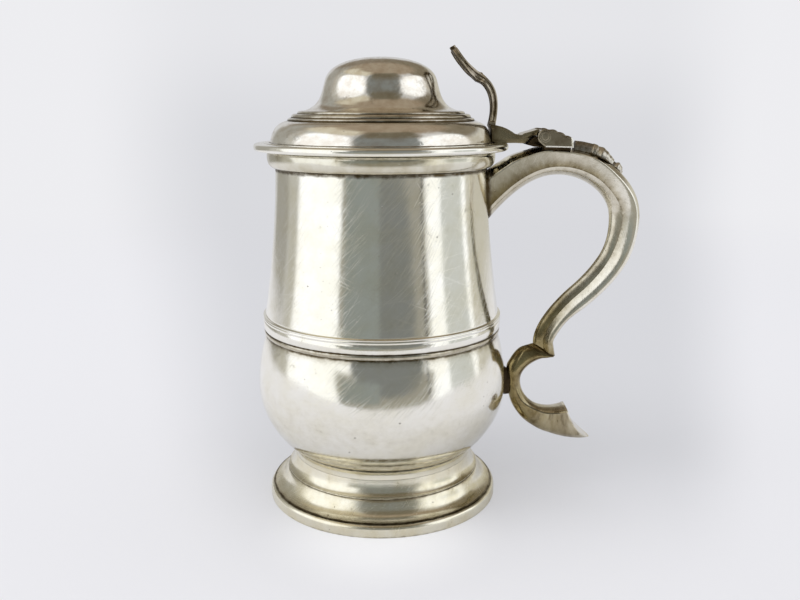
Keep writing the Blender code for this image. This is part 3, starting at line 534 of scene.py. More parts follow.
def rounded(points, radius, steps=3, straight_degrees=160, most=0.45):
    """The line with each inner corner sharper than nearly straight turned by a small arc."""
    result = [points[0]]
    for before, corner, after in zip(points, points[1:], points[2:]):
        corner = Vector(corner)
        inward = Vector(before) - corner
        onward = Vector(after) - corner
        shortest = min(inward.length, onward.length)
        if shortest < 1e-6 or inward.angle(onward) > math.radians(straight_degrees):
            result.append(tuple(corner))
            continue
        reach = min(radius, shortest * most)
        start = corner + inward.normalized() * reach
        end = corner + onward.normalized() * reach
        for step in range(steps + 1):
            t = step / steps
            spot = start * (1 - t) ** 2 + corner * 2 * t * (1 - t) + end * t * t
            result.append(tuple(spot))
    result.append(points[-1])
    return result


def table_value(table, place):
    """Value between the rows of a table of (place, value), eased at both ends of each row."""
    for (low, low_value), (high, high_value) in zip(table, table[1:]):
        if place <= high:
            t = max(0.0, (place - low) / (high - low))
            ease = t * t * (3 - 2 * t)
            return low_value + (high_value - low_value) * ease
    return table[-1][1]


def curve_frame(curves, place):
    """Point and unit tangent of joined cubic curves; the whole part of place picks the curve."""
    index = min(int(place), len(curves) - 1)
    t = place - index
    u = 1 - t
    a, b, c, d = (Vector(knot) for knot in curves[index])
    tangent = u * u * (b - a) + 2 * u * t * (c - b) + t * t * (d - c)
    return cubic(curves[index], t), tangent.normalized()


def steps_between(low, high, count):
    return [low + (high - low) * step / count for step in range(count + 1)]


def full_turn(count):
    return [math.tau * step / count for step in range(count)]


def fade(distance, reach):
    """One at no distance, and soon nothing past the reach."""
    return math.exp(-((distance / reach) ** 2))


# Objects


def new_mesh(name, bm):
    mesh = bpy.data.meshes.new(name)
    bm.to_mesh(mesh)
    bm.free()
    return mesh


def new_object(name, data):
    item = bpy.data.objects.new(name, data)
    bpy.context.scene.collection.objects.link(item)
    return item


def finish_piece(name, node, bm, materials, smooth_degrees=40):
    """Object in the frame's metres that rides on the node's body and stands for its solid."""
    bmesh.ops.remove_doubles(bm, verts=bm.verts, dist=WELD)
    bmesh.ops.recalc_face_normals(bm, faces=bm.faces)
    bmesh.ops.translate(bm, verts=bm.verts, vec=(AXIS_X, 0, 0))
    bmesh.ops.scale(bm, verts=bm.verts, vec=(MM, MM, MM))
    mesh = new_mesh(name, bm)
    mesh.shade_smooth()
    mesh.set_sharp_from_angle(angle=math.radians(smooth_degrees))
    for material in materials:
        mesh.materials.append(material)
    piece = new_object(name, mesh)
    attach(piece, BODY_OF[node])
    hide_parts(node)


def skin(rows, marking=lambda index, column, spot: (0.0, 0.0)):
    """Faces round and along rows of matching points, unwrapped in millimetres, with marks of tarnish, in
    places painted shade, and of patina.
    """
    bm = bmesh.new()
    unwrapped = bm.loops.layers.uv.verify()
    marks = [bm.verts.layers.float.new(name) for name in ("tarnish_and_shade", "patina")]
    rings = []
    for index, row in enumerate(rows):
        ring = [bm.verts.new(point) for point in row]
        for column, vert in enumerate(ring):
            for mark, value in zip(marks, marking(index, column, vert.co)):
                vert[mark] = value
        rings.append(ring)
    count = len(rings[0])
    middle = rows[len(rows) // 2]
    across = [0.0]
    for column in range(count):
        across.append(across[-1] + math.dist(middle[column], middle[(column + 1) % count]))
    along = [0.0]
    for row, after in zip(rows, rows[1:]):
        along.append(along[-1] + max(math.dist(a, b) for a, b in zip(row, after)))
    for index, (ring, after) in enumerate(zip(rings, rings[1:])):
        for i in range(count):
            j = (i + 1) % count
            corners = [(ring[i], i, index), (ring[j], i + 1, index)]
            corners += [(after[j], i + 1, index + 1), (after[i], i, index + 1)]
            face = bm.faces.new([corner[0] for corner in corners])
            for loop, (_, column, line) in zip(face.loops, corners):
                loop[unwrapped].uv = (across[column], along[line])
    return bm, rings


def close_ends(bm, rings):
    bm.faces.new(rings[0])
    bm.faces.new(rings[-1])


def lathe(name, node, profile, materials, inside_rows=0):
    """Closed turned piece from a (radius, height) outline, whose first rows may have the second material."""

    def marking(index, column, spot):
        values = []
        for rings in TURNED_WEAR_AND_SHADE[name]:
            value = 0.0
            for radius, height, reach, depth in rings:
                away = math.dist(profile[index % len(profile)], (radius, height))
                value = max(value, depth * fade(away, reach))
            values.append(value)
        return values

    rows = []
    for radius, height in [*profile, profile[0]]:
        radius = max(radius, AXIS_HOLE)
        rows.append([(radius * math.cos(a), radius * math.sin(a), height) for a in full_turn(SEGMENTS)])
    bm, _ = skin(rows, marking)
    bm.faces.ensure_lookup_table()
    for index in range(inside_rows * SEGMENTS):
        bm.faces[index].material_index = 1
    finish_piece(name, node, bm, materials)


# Materials


class Nodes:
    """Short ways to add and join the nodes of one tree."""

    def __init__(self, tree):
        self.tree = tree

    def add(self, kind, **settings):
        node = self.tree.nodes.new(kind)
        for key, value in settings.items():
            setattr(node, key, value)
        return node

    def give(self, node, name, value):
        """Sets a socket, or joins it when the value is another node's output."""
        if isinstance(value, bpy.types.NodeSocket):
            self.tree.links.new(value, node.inputs[name])
        elif value is not None:
            node.inputs[name].default_value = value

    def math(self, operation, first, second=None, third=None):
        node = self.add("ShaderNodeMath", operation=operation)
        for index, value in enumerate((first, second, third)):
            self.give(node, index, value)
        return node.outputs[0]

    def times(self, first, second):
        return self.math("MULTIPLY", first, second)

    def gather(self, base, terms):
        """The base with each value added by its share."""
        for value, share in terms:
            base = self.math("MULTIPLY_ADD", value, share, base)
        return base

    def away(self, x, y, middle):
        """Distance from a middle in the plane."""
        squares = []
        for value, centre in zip((x, y), middle):
            offset = self.math("SUBTRACT", value, centre)
            squares.append(self.times(offset, offset))
        return self.math("SQRT", self.math("ADD", *squares))

    def ramp(self, value, low, high, start=0.0, end=1.0):
        """Smooth rise from start to end while the value goes from low to high."""
        node = self.add("ShaderNodeMapRange", interpolation_type="SMOOTHSTEP")
        for index, setting in enumerate((value, low, high, start, end)):
            self.give(node, index, setting)
        return node.outputs[0]

    def fall(self, value, low, high, end=0.0):
        return self.ramp(value, low, high, 1.0, end)

    def band(self, value, limits, soft):
        """Mask of the values between two limits, with soft edges."""
        low, high = limits
        rise = self.ramp(value, low - soft / 2, low + soft / 2)
        return self.times(rise, self.fall(value, high - soft / 2, high + soft / 2))

    def mix(self, factor, first, second):
        node = self.add("ShaderNodeMix", data_type="RGBA")
        self.give(node, 0, factor)
        for index, colour in ((6, first), (7, second)):
            self.give(node, index, (*colour, 1.0) if isinstance(colour, tuple) else colour)
        return node.outputs[2]

    def shaders(self, factor, first, second):
        """Two shaders mixed."""
        node = self.add("ShaderNodeMixShader")
        for index, value in enumerate((factor, first.outputs[0], second.outputs[0])):
            self.give(node, index, value)
        return node

    def cells(self, vector, length, width=None, angle=0.0):
        """The coordinate measured in turned cells of a length and a width in millimetres."""
        width = width or length
        node = self.add("ShaderNodeMapping", vector_type="TEXTURE")
        self.give(node, "Vector", vector)
        self.give(node, "Rotation", (0.0, 0.0, math.radians(angle)))
        self.give(node, "Scale", (length, width, width))
        return node.outputs[0]

    def noise(self, spot, cell, detail=2.0, roughness=0.5):
        node = self.add("ShaderNodeTexNoise")
        self.give(node, "Vector", self.cells(spot, *cell))
        self.give(node, "Scale", 1.0)
        self.give(node, "Detail", detail)
        self.give(node, "Roughness", roughness)
        return node.outputs["Fac"]

    def mark(self, name):
        return self.add("ShaderNodeAttribute", attribute_name=name).outputs["Fac"]


def new_material(name):
    material = bpy.data.materials.new(name)
    material.use_nodes = True
    return material, Nodes(material.node_tree), material.node_tree.nodes["Principled BSDF"]


def silver(name, tint, shade, gloss, scratched, stained, wavy=1.0, turned=0.0, patch=14.0, unwrapped=True):
    """Silver with wear: tint and shade in patches, scratches, raised unevenness and brown tarnish, whose mark
    also paints shade on some pieces.
    """
    material, nodes, shader = new_material(name)
    nodes.give(shader, "Metallic", 1.0)
    place = nodes.add("ShaderNodeTexCoord").outputs
    spot = place["UV"] if unwrapped else nodes.cells(place["Object"], MM)

    scratches = 0.0
    for angle, length, width, level in SCRATCH_LAYERS:
        streak = nodes.noise(spot, (length, width, angle), 1.0)
        scratches = nodes.math("MAXIMUM", nodes.ramp(streak, level, level + SCRATCH_SOFT), scratches)
    hatch = nodes.noise(spot, HATCH_CELL)
    rings = nodes.noise(spot, RING_CELL, 3.0)
    patches = nodes.ramp(nodes.noise(spot, (patch,), 5.0, 0.6), *PATCH_RISE)
    grime = nodes.noise(spot, GRIME_CELL, 4.0, 0.65)
    pits = nodes.ramp(nodes.noise(spot, PIT_CELL, 0.0), *PIT_RISE)

    usual = (GRIME_SHARE + RING_SHARE * turned) / 2
    uneven = nodes.gather(nodes.mark("tarnish_and_shade"), ((grime, GRIME_SHARE), (rings, RING_SHARE * turned)))
    brown = nodes.ramp(uneven, *(usual + level for level in BROWN_RISE))
    if stained > 0:
        level = BLOTCH_LEVEL - BLOTCH_RISE * stained
        blotch = nodes.noise(spot, BLOTCH_CELL, 6.0, 0.68)
        blotches = nodes.ramp(blotch, level, level + BLOTCH_RISE, 0.0, BLOTCH_BROWN)
        brown = nodes.math("MAXIMUM", brown, blotches)
    brown = nodes.math("MAXIMUM", brown, nodes.times(pits, PIT_BROWN))

    usual = GOLD_GRIME_SHARE / 2
    golden = nodes.ramp(nodes.gather(nodes.mark("patina"), ((grime, GOLD_GRIME_SHARE),)), usual, usual + 1)
    colour = nodes.mix(patches, tint, shade)
    colour = nodes.mix(golden, colour, nodes.mix(patches, PATINA_LIGHT, PATINA_DARK))
    nodes.give(shader, "Base Color", nodes.mix(brown, colour, BROWN))

    rough = nodes.gather(gloss, (
        (patches, 0.05), (nodes.ramp(hatch, *HATCH_RISE), 0.1 * scratched), (rings, 0.1 * turned),
        (scratches, 0.09 * scratched), (brown, 0.25),
    ))
    nodes.give(shader, "Roughness", rough)

    height = nodes.gather(0.0, (
        (nodes.noise(spot, SWING_CELL, 1.0), 0.1 * wavy), (nodes.noise(spot, RIPPLE_CELL, 1.0), 0.012 * wavy),
        (hatch, 0.013 * scratched), (rings, 0.012 * turned), (scratches, -0.006 * scratched),
        (pits, -0.03), (brown, -0.01),
    ))
    bump = nodes.add("ShaderNodeBump")
    nodes.give(bump, "Distance", MM)
    nodes.give(bump, "Height", height)
    nodes.give(shader, "Normal", bump.outputs["Normal"])
    return material


def small_silver(name, tint, shade, gloss, scratched, stained):
    """Silver of small pieces, whose wear goes through the solid."""
    return silver(name, tint, shade, gloss, scratched, stained, 0.3, unwrapped=False)


POLISHED = silver("polished_silver", (0.925, 0.905, 0.83), (0.88, 0.85, 0.735), 0.045, 1.0, 0.03, 1.0, 0.2)
BAND = silver("band_silver", (0.78, 0.755, 0.645), (0.62, 0.57, 0.425), 0.09, 0.8, 0.2, 1.0, 0.3)
TURNED = silver("turned_silver", (0.92, 0.88, 0.735), (0.84, 0.775, 0.58), 0.13, 0.6, 0.1, 1.0, 1.0)
LID_SILVER = silver("lid_silver", (0.96, 0.94, 0.87), (0.81, 0.75, 0.655), 0.075, 0.8, 0.28, 1.0, 0.3, 4.5)
INSIDE = silver("inside_silver", (0.82, 0.80, 0.74), (0.74, 0.69, 0.58), 0.28, 1.0, 0.2)
WORN = silver("handled_silver", (0.91, 0.88, 0.78), (0.83, 0.78, 0.65), 0.13, 0.8, 0.2, 0.6)
OLIVE = silver("olive_silver", (0.80, 0.76, 0.64), (0.70, 0.63, 0.47), 0.09, 0.8, 0.7, 0.6)
DULL = small_silver("dull_silver", (0.36, 0.32, 0.235), (0.25, 0.21, 0.145), 0.36, 0.6, 0.45)
# Lighter rubbed metal, also a painted highlight on the end plates' lower and far border and on the strap's
# top near the knuckles
WORN_LIT_EDGE = small_silver("worn_highlit_edge", (0.88, 0.86, 0.78), (0.80, 0.77, 0.66), 0.25, 0.6, 0.0)
# Near-black solder of the belly's joint, also painted shade on the saddle under the hinge
SOLDER_AND_SHADE = small_silver("solder", (0.075, 0.052, 0.028), (0.03, 0.02, 0.01), 0.4, 0.4, 0.5)
CAST = small_silver("cast_silver", (0.58, 0.52, 0.42), (0.40, 0.34, 0.24), 0.22, 0.4, 0.25)
STREAKED = small_silver("streaked_silver", (0.36, 0.31, 0.21), (0.21, 0.17, 0.10), 0.26, 0.4, 0.4)
LEAF = silver("leaf_silver", (0.66, 0.63, 0.56), (0.52, 0.47, 0.38), 0.2, 0.4, 0.2, 0.3)


# Vessel, foot and lid


def drum_line(steps=60):
    points = [(MOUTH_RADIUS, MOUTH_TOP)]
    return points + bezier((MOUTH_RADIUS, DRUM_TOP), DRUM_PULLS, (WAIST_RADIUS, WAIST_TOP), steps)


def belly_line(steps=48):
    points = [(WAIST_RADIUS, WAIST_BASE)]
    curve_on(points, BELLY_TOP_PULLS, (BELLY_RADIUS, BELLY_HEIGHT), steps)
    curve_on(points, BELLY_LOW_PULLS, (VESSEL_BASE_RADIUS, VESSEL_BASE), steps)
    return points


def rim_band_line(steps=16):
    points = [(RIM_LIP, MOUTH_TOP)]
    curve_on(points, RIM_TOP_PULLS, (RIM_RADIUS, RIM_WIDEST), steps)
    curve_on(points, RIM_PULLS, RIM_EDGE, steps)
    return points + [(MOUTH_RADIUS, RIM_BASE)]


def vessel_pieces():
    drum = drum_line()
    belly = belly_line()
    floor = VESSEL_BASE + WALL
    inside = offset_line(drum, WALL) + offset_line(belly, WALL)
    inside = [point for point in inside if point[1] > floor + WALL]
    inside[0] = (MOUTH_RADIUS - WALL, MOUTH_TOP)
    inner = [(0, floor), (FLOOR_RING, floor), (VESSEL_BASE_RADIUS - WALL, floor)] + inside[::-1]
    profile = inner + drum + belly + [(0, VESSEL_BASE)]
    lathe("vessel", "vessel_body", profile, [POLISHED, INSIDE], len(inner) - 1)

    band = rounded([(RIM_INNER, MOUTH_TOP)] + rim_band_line(), RIM_CORNER)
    lathe("mouth_band", "mouth_rim_band", band + [(RIM_INNER, RIM_BASE)], [BAND])

    band = [(GIRDLE_INNER, WAIST_TOP), (GIRDLE_EDGE, WAIST_TOP)]
    curve_on(band, GIRDLE_TOP_PULLS, (GIRDLE_RADIUS, GIRDLE_TOP), 6)
    for height in GIRDLE_LINES:
        band.append((GIRDLE_RADIUS, height + GIRDLE_LINE_WIDTH / 2))
        band.append((GIRDLE_RADIUS - GIRDLE_LINE_DEPTH, height))
        band.append((GIRDLE_RADIUS, height - GIRDLE_LINE_WIDTH / 2))
    band.append((GIRDLE_RADIUS, GIRDLE_FACE_BASE))
    curve_on(band, GIRDLE_FACE_PULLS, GIRDLE_GROOVE, 8)
    band += swell(GIRDLE_GROOVE, GIRDLE_FOOT, GIRDLE_REED_SWELL, 12)
    lathe("girdle", "girdle_band", band + [(GIRDLE_INNER, GIRDLE_FOOT[1])], [POLISHED])


def foot_pieces():
    collar = [(COLLAR_INNER, VESSEL_BASE + COLLAR_LIP)]
    collar.append((COLLAR_RADIUS - COLLAR_EDGE, VESSEL_BASE - COLLAR_LIP))
    collar.append((COLLAR_RADIUS, VESSEL_BASE - 2 * COLLAR_EDGE))
    collar += swell(collar[-1], (COLLAR_BASE_RADIUS, COLLAR_BASE + COLLAR_FOOT), -COLLAR_HOLLOW, 12)
    collar += [(COLLAR_BASE_RADIUS - COLLAR_LIP, COLLAR_BASE), (COLLAR_INNER, COLLAR_BASE - COLLAR_LIP)]
    lathe("collar", "foot_collar", collar, [TURNED])

    top = COLLAR_BASE - COLLAR_LIP
    outside = [(PEDESTAL_INNER, top), (STEP_TOP_RADIUS, top)]
    curve_on(outside, STEP_PULLS, (STEP_RADIUS, STEP_HEIGHT), 24)
    curve_on(outside, STEP_LIP_PULLS, (STEP_RADIUS, STEP_HEIGHT - STEP_LIP), 6)
    curve_on(outside, SKIRT_PULLS, (SKIRT_RADIUS, SKIRT_BASE + SKIRT_EDGE), 36)
    outside.append((SKIRT_RADIUS - SKIRT_EDGE, SKIRT_BASE))
    lathe("pedestal", "foot_pedestal", [*outside, *PEDESTAL_INSIDE], [TURNED])

    rim = [*FOOT_TOP]
    curve_on(rim, FOOT_PULLS, (FOOT_RADIUS, FOOT_WIDEST), 10)
    lathe("foot_ring", "foot_rim_wire", rim + rounded(FOOT_BASE, FOOT_CORNER), [TURNED])


def lid_pieces():
    outside = [(0, LID_TOP)]
    curve_on(outside, DOME_PULLS, DOME_SHOULDER, 40)
    curve_on(outside, OGEE_PULLS, LID_GROOVES[0], 36)
    for start, end in zip(LID_GROOVES, LID_GROOVES[1:]):
        outside += swell(start, end, REED_FULLNESS * math.dist(start, end), 12)
    curve_on(outside, SHOULDER_PULLS, LID_SHOULDER, 30)
    curve_on(outside, LID_FOOT_PULLS, LID_FOOT, 8)
    under = LID_FOOT[1] - WALL
    inside = [(LID_FOOT[0], under), (LID_SHOULDER[0] - WALL, under)]
    for pulls, end, steps in LID_INSIDE:
        curve_on(inside, pulls, end, steps)
    lathe("lid", "lid_dome", inside + outside, [LID_SILVER, INSIDE], len(inside) - 1)

    wire = [*FLANGE_TOP]
    curve_on(wire, FLANGE_TOP_PULLS, (FLANGE_RADIUS, FLANGE_WIDEST), 16)
    curve_on(wire, FLANGE_LOW_PULLS, FLANGE_BASE[0], 12)
    lathe("lid_wire", "lid_rim_wire", [*wire, *FLANGE_BASE[1:]], [POLISHED])
    lathe("bezel", "lid_bezel", rounded(BEZEL, BEZEL_CORNER), [INSIDE])


# Handle

VESSEL_LINE = np.array(drum_line() + belly_line())[::-1]
RIM_LINE = np.array(rim_band_line())[::-1]


def vessel_radius_at(height):
    """Outer radius of the vessel and its mouth band at a height."""
    radius = float(np.interp(height, VESSEL_LINE[:, 1], VESSEL_LINE[:, 0]))
    if RIM_LINE[0, 1] <= height <= RIM_LINE[-1, 1]:
        radius = max(radius, float(np.interp(height, RIM_LINE[:, 1], RIM_LINE[:, 0])))
    return radius


def evenly(points, steps):
    """The open line with its points moved to even distances along it."""
    points = np.array(points)
    along = np.concatenate(([0.0], np.cumsum(np.hypot(*np.diff(points, axis=0).T))))
    places = np.linspace(0.0, along[-1], steps + 1)
    return np.column_stack([np.interp(places, along, points[:, axis]) for axis in (0, 1)])


def shell_section(half, depth, taper, widest, chamfer, rounding, lean):
    """Back of the handle over the seam, as (across, out) points: keystone sides with chamfered corners."""
    side = [(half * (1 - taper), 0.0), (half * (1 - max(lean, 0)), widest * depth)]
    side += [(half * (1 + min(lean, 0)), chamfer * depth), (half * CHAMFER_SHARE, CHAMFER_HEIGHT * depth)]
    outline = side + [(0.0, depth)] + [(-across, out) for across, out in reversed(side)]
    return [tuple(point) for point in evenly(rounded(outline, rounding, 5), SHELL_STEPS)]


def oval_section(half, depth, tail):
    """Round back of the scroll over its seam, as (across, out) points, flatter sided towards the tail."""
    turns = np.linspace(0.0, math.pi, SHELL_STEPS + 1)
    round_back = np.column_stack((half * (1 - SCROLL_TAPER) * np.cos(turns), depth * np.sin(turns)))
    flat_sided = np.array(shell_section(half, depth, SCROLL_TAPER, *SCROLL_FLAT_SIDES))
    return [tuple(point) for point in round_back * (1 - tail) + flat_sided * tail]


def strap_section(half, bulge, steps=24):
    """Convex inner strap under the seam, as (across, out) points."""
    points = [(-half, STRAP_LIP)]
    for share in steps_between(-1, 1, steps):
        edge = STRAP_EDGE * (1 - share**8) ** 0.5
        points.append((half * share, -edge - bulge * (1 - share * share)))
    return points + [(half, STRAP_LIP)]


def lifted(section, shift):
    return [(across, out + shift) for across, out in section]


def swept_rows(curves, side, places, section_at):
    """Rows of points along joined curves; side picks which side of the path is out."""
    rows = []
    for place in places:
        point, tangent = curve_frame(curves, place)
        out = left_of(tangent) * side
        section = section_at(place)
        rows.append([(point.x + out.x * away, across, point.y + out.y * away) for across, away in section])
    return rows


def trimmed(rows, buried, halvings=16):
    """Rows whose lines stop where they enter a neighbour, followed from the last row backward."""
    rows = [list(row) for row in rows]
    for column in range(len(rows[0])):
        stop = None
        for index in range(len(rows) - 2, -1, -1):
            if stop is None and buried(rows[index][column]):
                inner = Vector(rows[index][column])
                outer = Vector(rows[index + 1][column])
                for _ in range(halvings):
                    middle = (inner + outer) / 2
                    if buried(middle):
                        inner = middle
                    else:
                        outer = middle
                stop = tuple(inner)
            if stop is not None:
                rows[index][column] = stop
    return rows


def in_vessel(point):
    return math.hypot(point[0], point[1]) < vessel_radius_at(point[2]) - HANDLE_SUNK


def in_tail_bar(radius):
    return lambda point: math.dist((point[0], point[2]), TAIL_CENTRE) < radius


def cut_flat(bm, start, end):
    """Removes what lies below the line from start to end in the XZ plane."""
    along = Vector((end[0] - start[0], 0, end[1] - start[1])).normalized()
    downward = Vector((along.z, 0, -along.x))
    geometry = list(bm.verts) + list(bm.edges) + list(bm.faces)
    spot = Vector((start[0], 0, start[1]))
    bmesh.ops.bisect_plane(bm, geom=geometry, plane_co=spot, plane_no=downward, clear_outer=True)


def handle_depth(place):
    return table_value(HANDLE_DEPTH, place)


def joint_tarnish(spot, wall_reach, mitre_reach, mitre_depth):
    """Tarnish near the vessel's wall and near the plane in which handle and lower scroll meet."""
    from_wall = math.hypot(spot.x, spot.y) - vessel_radius_at(spot.z)
    (near, near_height), (far, far_height) = HANDLE_END_CUT
    mitre = near_height + (spot.x - near) * (far_height - near_height) / (far - near)
    return max(fade(from_wall, wall_reach), mitre_depth * fade(spot.z - mitre, mitre_reach))


def plain_wear(places, joints, patina):
    """Tarnish near the joints, and a patina that changes along the sweep."""
    return lambda index, column, spot: (joint_tarnish(spot, *joints), table_value(patina, places[index]))


def handle_pieces():
    places = steps_between(0, len(HANDLE_SEAM), 200)

    def shell(place):
        shift = table_value(HANDLE_SEAM_SHIFT, place)
        shape = [table_value(table, place) for table in HANDLE_SHAPE]
        half = table_value(HANDLE_HALF_WIDTH, place)
        return lifted(shell_section(half, handle_depth(place) - shift, *shape), shift)

    def strap(place):
        shift = table_value(HANDLE_SEAM_SHIFT, place)
        half = table_value(HANDLE_HALF_WIDTH, place) * (1 - table_value(HANDLE_TAPER, place)) - STRAP_INSET
        return lifted(strap_section(half, table_value(HANDLE_BULGE, place) + shift), shift)

    def shell_wear(index, column, spot):
        place = places[index]
        from_seam = min(column, SHELL_STEPS - column)
        seam = table_value(SEAM_TARNISH, place)
        tarnish_and_shade = max(joint_tarnish(spot, *HANDLE_JOINTS), seam * fade(from_seam, SEAM_TARNISH_COLUMNS))
        golden = table_value(HANDLE_PATINA, place) + seam * fade(from_seam, SEAM_GOLD_COLUMNS)
        if from_seam > BACK_COLUMN:
            golden *= 1 - table_value(BACK_RUBBED, place)
        return tarnish_and_shade, golden

    for name, node, section, marking in (
        ("handle_shell", "handle_outer_shell", shell, shell_wear),
        ("handle_strap", "handle_inner_strap", strap, plain_wear(places, HANDLE_JOINTS, STRAP_PATINA)),
    ):
        bm, _ = skin(trimmed(swept_rows(HANDLE_SEAM, 1, places, section), in_vessel), marking)
        cut_flat(bm, *HANDLE_END_CUT)
        finish_piece(name, node, bm, [WORN])


def scroll_depth(place):
    """Depth eased along the curl, and straight between the rows of the tail."""
    if place > SCROLL_TAIL_FROM:
        return float(np.interp(place, *zip(*SCROLL_DEPTH)))
    return table_value(SCROLL_DEPTH, place)


def close_mirrored(bm, ring, arc):
    """Faces across a ring of an arc and a strap, between each point and its mirror image."""
    count = len(ring)
    pairs = [(ring[index], ring[arc - 1 - index]) for index in range(arc // 2, -1, -1)]
    for index in range((count - arc) // 2 + 1):
        pairs.append((ring[count - 1 - index], ring[arc + index]))
    for (left, right), (next_left, next_right) in zip(pairs, pairs[1:]):
        corners = list(dict.fromkeys((left, right, next_right, next_left)))
        if len(corners) > 2:
            bm.faces.new(corners)


def scroll_pieces():
    places = steps_between(0, SCROLL_TIP, 24) + steps_between(SCROLL_TIP, len(SCROLL_SEAM), 110)[1:]

    def shell(place):
        shift = table_value(SCROLL_SEAM_SHIFT, place)
        half = table_value(SCROLL_HALF_WIDTH, place)
        return lifted(oval_section(half, scroll_depth(place) - shift, table_value(SCROLL_TAIL, place)), shift)

    def strap(place, inset=STRAP_INSET / 2):
        shift = table_value(SCROLL_SEAM_SHIFT, place)
        half = table_value(SCROLL_HALF_WIDTH, place) * (1 - SCROLL_TAPER) - inset
        return lifted(strap_section(half, SCROLL_BULGE + shift), shift)

    def whole(place):
        return shell(place) + strap(place, 0.0)[1:-1]

    for name, node, section, patina in (
        ("scroll_shell", "handle_scroll_shell", shell, SCROLL_PATINA),
        ("scroll_strap", "handle_scroll_strap", strap, SCROLL_STRAP_PATINA),
    ):
        rows = swept_rows(SCROLL_SEAM, -1, places, section)
        rows = trimmed(rows[::-1], in_tail_bar(TAIL_RADIUS + TAIL_PLATE / 2))[::-1]
        bm, rings = skin(rows, plain_wear(places, SCROLL_JOINTS, patina))
        bm.faces.new(rings[0])
        finish_piece(name, node, bm, [OLIVE])

    rows = swept_rows(SCROLL_SEAM, -1, places[len(places) // 2:], whole)[::-1]
    sides = [trimmed(rows, in_tail_bar(radius))[0] for radius in (TAIL_RADIUS + TAIL_PLATE, TAIL_RADIUS)]
    bm, rings = skin(sides)
    close_mirrored(bm, rings[1], SHELL_STEPS + 1)
    finish_piece("tail_plate", "handle_tail_plate", bm, [OLIVE])


def solder_pad():
    """Waisted joint between belly and scroll, wider where it meets each."""
    rows = []
    for share in steps_between(0, 1, 16):
        x = PAD_NEAR + (PAD_FAR - PAD_NEAR) * share
        flare = PAD_WAIST + (1 - PAD_WAIST) * (2 * share - 1) ** 2
        row = []
        for angle in full_turn(40):
            size = flare * (1 + PAD_RIPPLE * math.sin(PAD_RIPPLES * angle + PAD_TWIST * share))
            across = PAD_HALF_WIDTH * size * math.cos(angle)
            row.append((x, across, PAD_MIDDLE + PAD_HALF_HEIGHT * size * math.sin(angle)))
        rows.append(row)
    bm, _ = skin(rows)
    finish_piece("solder_joint", "handle_lower_pad", bm, [SOLDER_AND_SHADE], smooth_degrees=60)


def leaf_drop():
    """Tapered stalk, ring, veined leaf and bud along the handle's back."""
    rows = []
    stains = []
    starts, halves, heights = zip(*LEAF_STATIONS)
    for place in steps_between(starts[0], starts[-1], 150):
        point, tangent = curve_frame(HANDLE_SEAM, place)
        out = left_of(tangent)
        half = table_value(list(zip(starts, halves)), place)
        height = table_value(list(zip(starts, heights)), place) + LEAF_SUNK
        back = point + out * (handle_depth(place) - LEAF_SUNK)
        leafy = max(0.0, 1 - abs(place - LEAF_MIDDLE) / LEAF_REACH)
        stalk = LEAF_STALK_TARNISH if place < LEAF_STALK_END else 0.0
        neck = LEAF_NECK_TARNISH * fade(place - LEAF_NECK, LEAF_NECK_REACH)
        row = []
        stain = []
        for angle in steps_between(0, math.pi, 56):
            vein = abs(math.sin(LEAF_VEINS * (angle - math.pi / 2)))
            groove = (1 - vein) ** 3 * leafy
            spot = back + out * height * math.sin(angle) * (1 - LEAF_VEIN_DEPTH * groove * math.sin(angle))
            row.append((spot.x, half * math.cos(angle), spot.y))
            edge = LEAF_EDGE_TARNISH * fade(min(angle, math.pi - angle), LEAF_EDGE_ANGLE)
            stain.append((max(LEAF_VEIN_TARNISH * groove, edge, stalk, neck), LEAF_PATINA))
        rows.append(row)
        stains.append(stain)
    bm, rings = skin(rows, lambda row, column, spot: stains[row][column])
    close_ends(bm, rings)
    finish_piece("leaf", "handle_leaf_drop", bm, [LEAF], smooth_degrees=50)


# Hinge


def closed_offset(points, distance):
    """Closed outline moved inward by a distance, for points that run counter-clockwise."""
    moved = []
    count = len(points)
    for index in range(count):
        spot = Vector(points[index])
        before = (spot - Vector(points[index - 1])).normalized()
        after = (Vector(points[(index + 1) % count]) - spot).normalized()
        normal = left_of(before + after)
        normal = normal.normalized() if normal.length > 1e-6 else left_of(before)
        spread = max(0.5, left_of(before).dot(normal))
        moved.append(tuple(spot + normal * distance / spread))
    return moved


def hinge_point(radius, angle):
    """Place beside the hinge's axis, as (x, height)."""
    return HINGE_X + radius * math.cos(angle), HINGE_Z + radius * math.sin(angle)


def end_plate(name, node, side):
    """Stepped flag-shaped plate with a narrow raised border round a sunk face, the border lighter along its
    lower and far edges as wear and painted highlight.
    """
    outline = [*PLATE_CORNERS, PLATE_STEPS[0]]
    for start, end in zip(PLATE_STEPS, PLATE_STEPS[1:]):
        outline += swell(start, end, -PLATE_HOLLOW, 8)
    radius, low, high, steps = PLATE_NOSE
    outline += [hinge_point(radius, math.radians(degrees)) for degrees in steps_between(low, high, steps)]
    rows = []
    for inset, across in PLATE_LAYERS:
        rows.append([(x, side * across, z) for x, z in closed_offset(outline, inset)])
    bm, rings = skin(rows)
    for face in bm.faces:
        spot = face.calc_center_median()
        worn_and_highlit = spot.z < PLATE_WORN_LIT_LOW or spot.x > PLATE_WORN_LIT_FAR
        face.material_index = 1 if worn_and_highlit and side * spot.y > PLATE_INNER + PLATE_BREAK else 0
    close_ends(bm, rings)
    finish_piece(name, node, bm, [DULL, WORN_LIT_EDGE], smooth_degrees=30)


def barrel(name, node, profile, material):
    """Turned piece about the hinge's axis from (radius, place along the axis)."""
    rows = []
    for radius, place in profile:
        points = [hinge_point(radius, angle) for angle in full_turn(48)]
        rows.append([(x, place, z) for x, z in points])
    bm, _ = skin(rows)
    finish_piece(name, node, bm, [material], smooth_degrees=50)


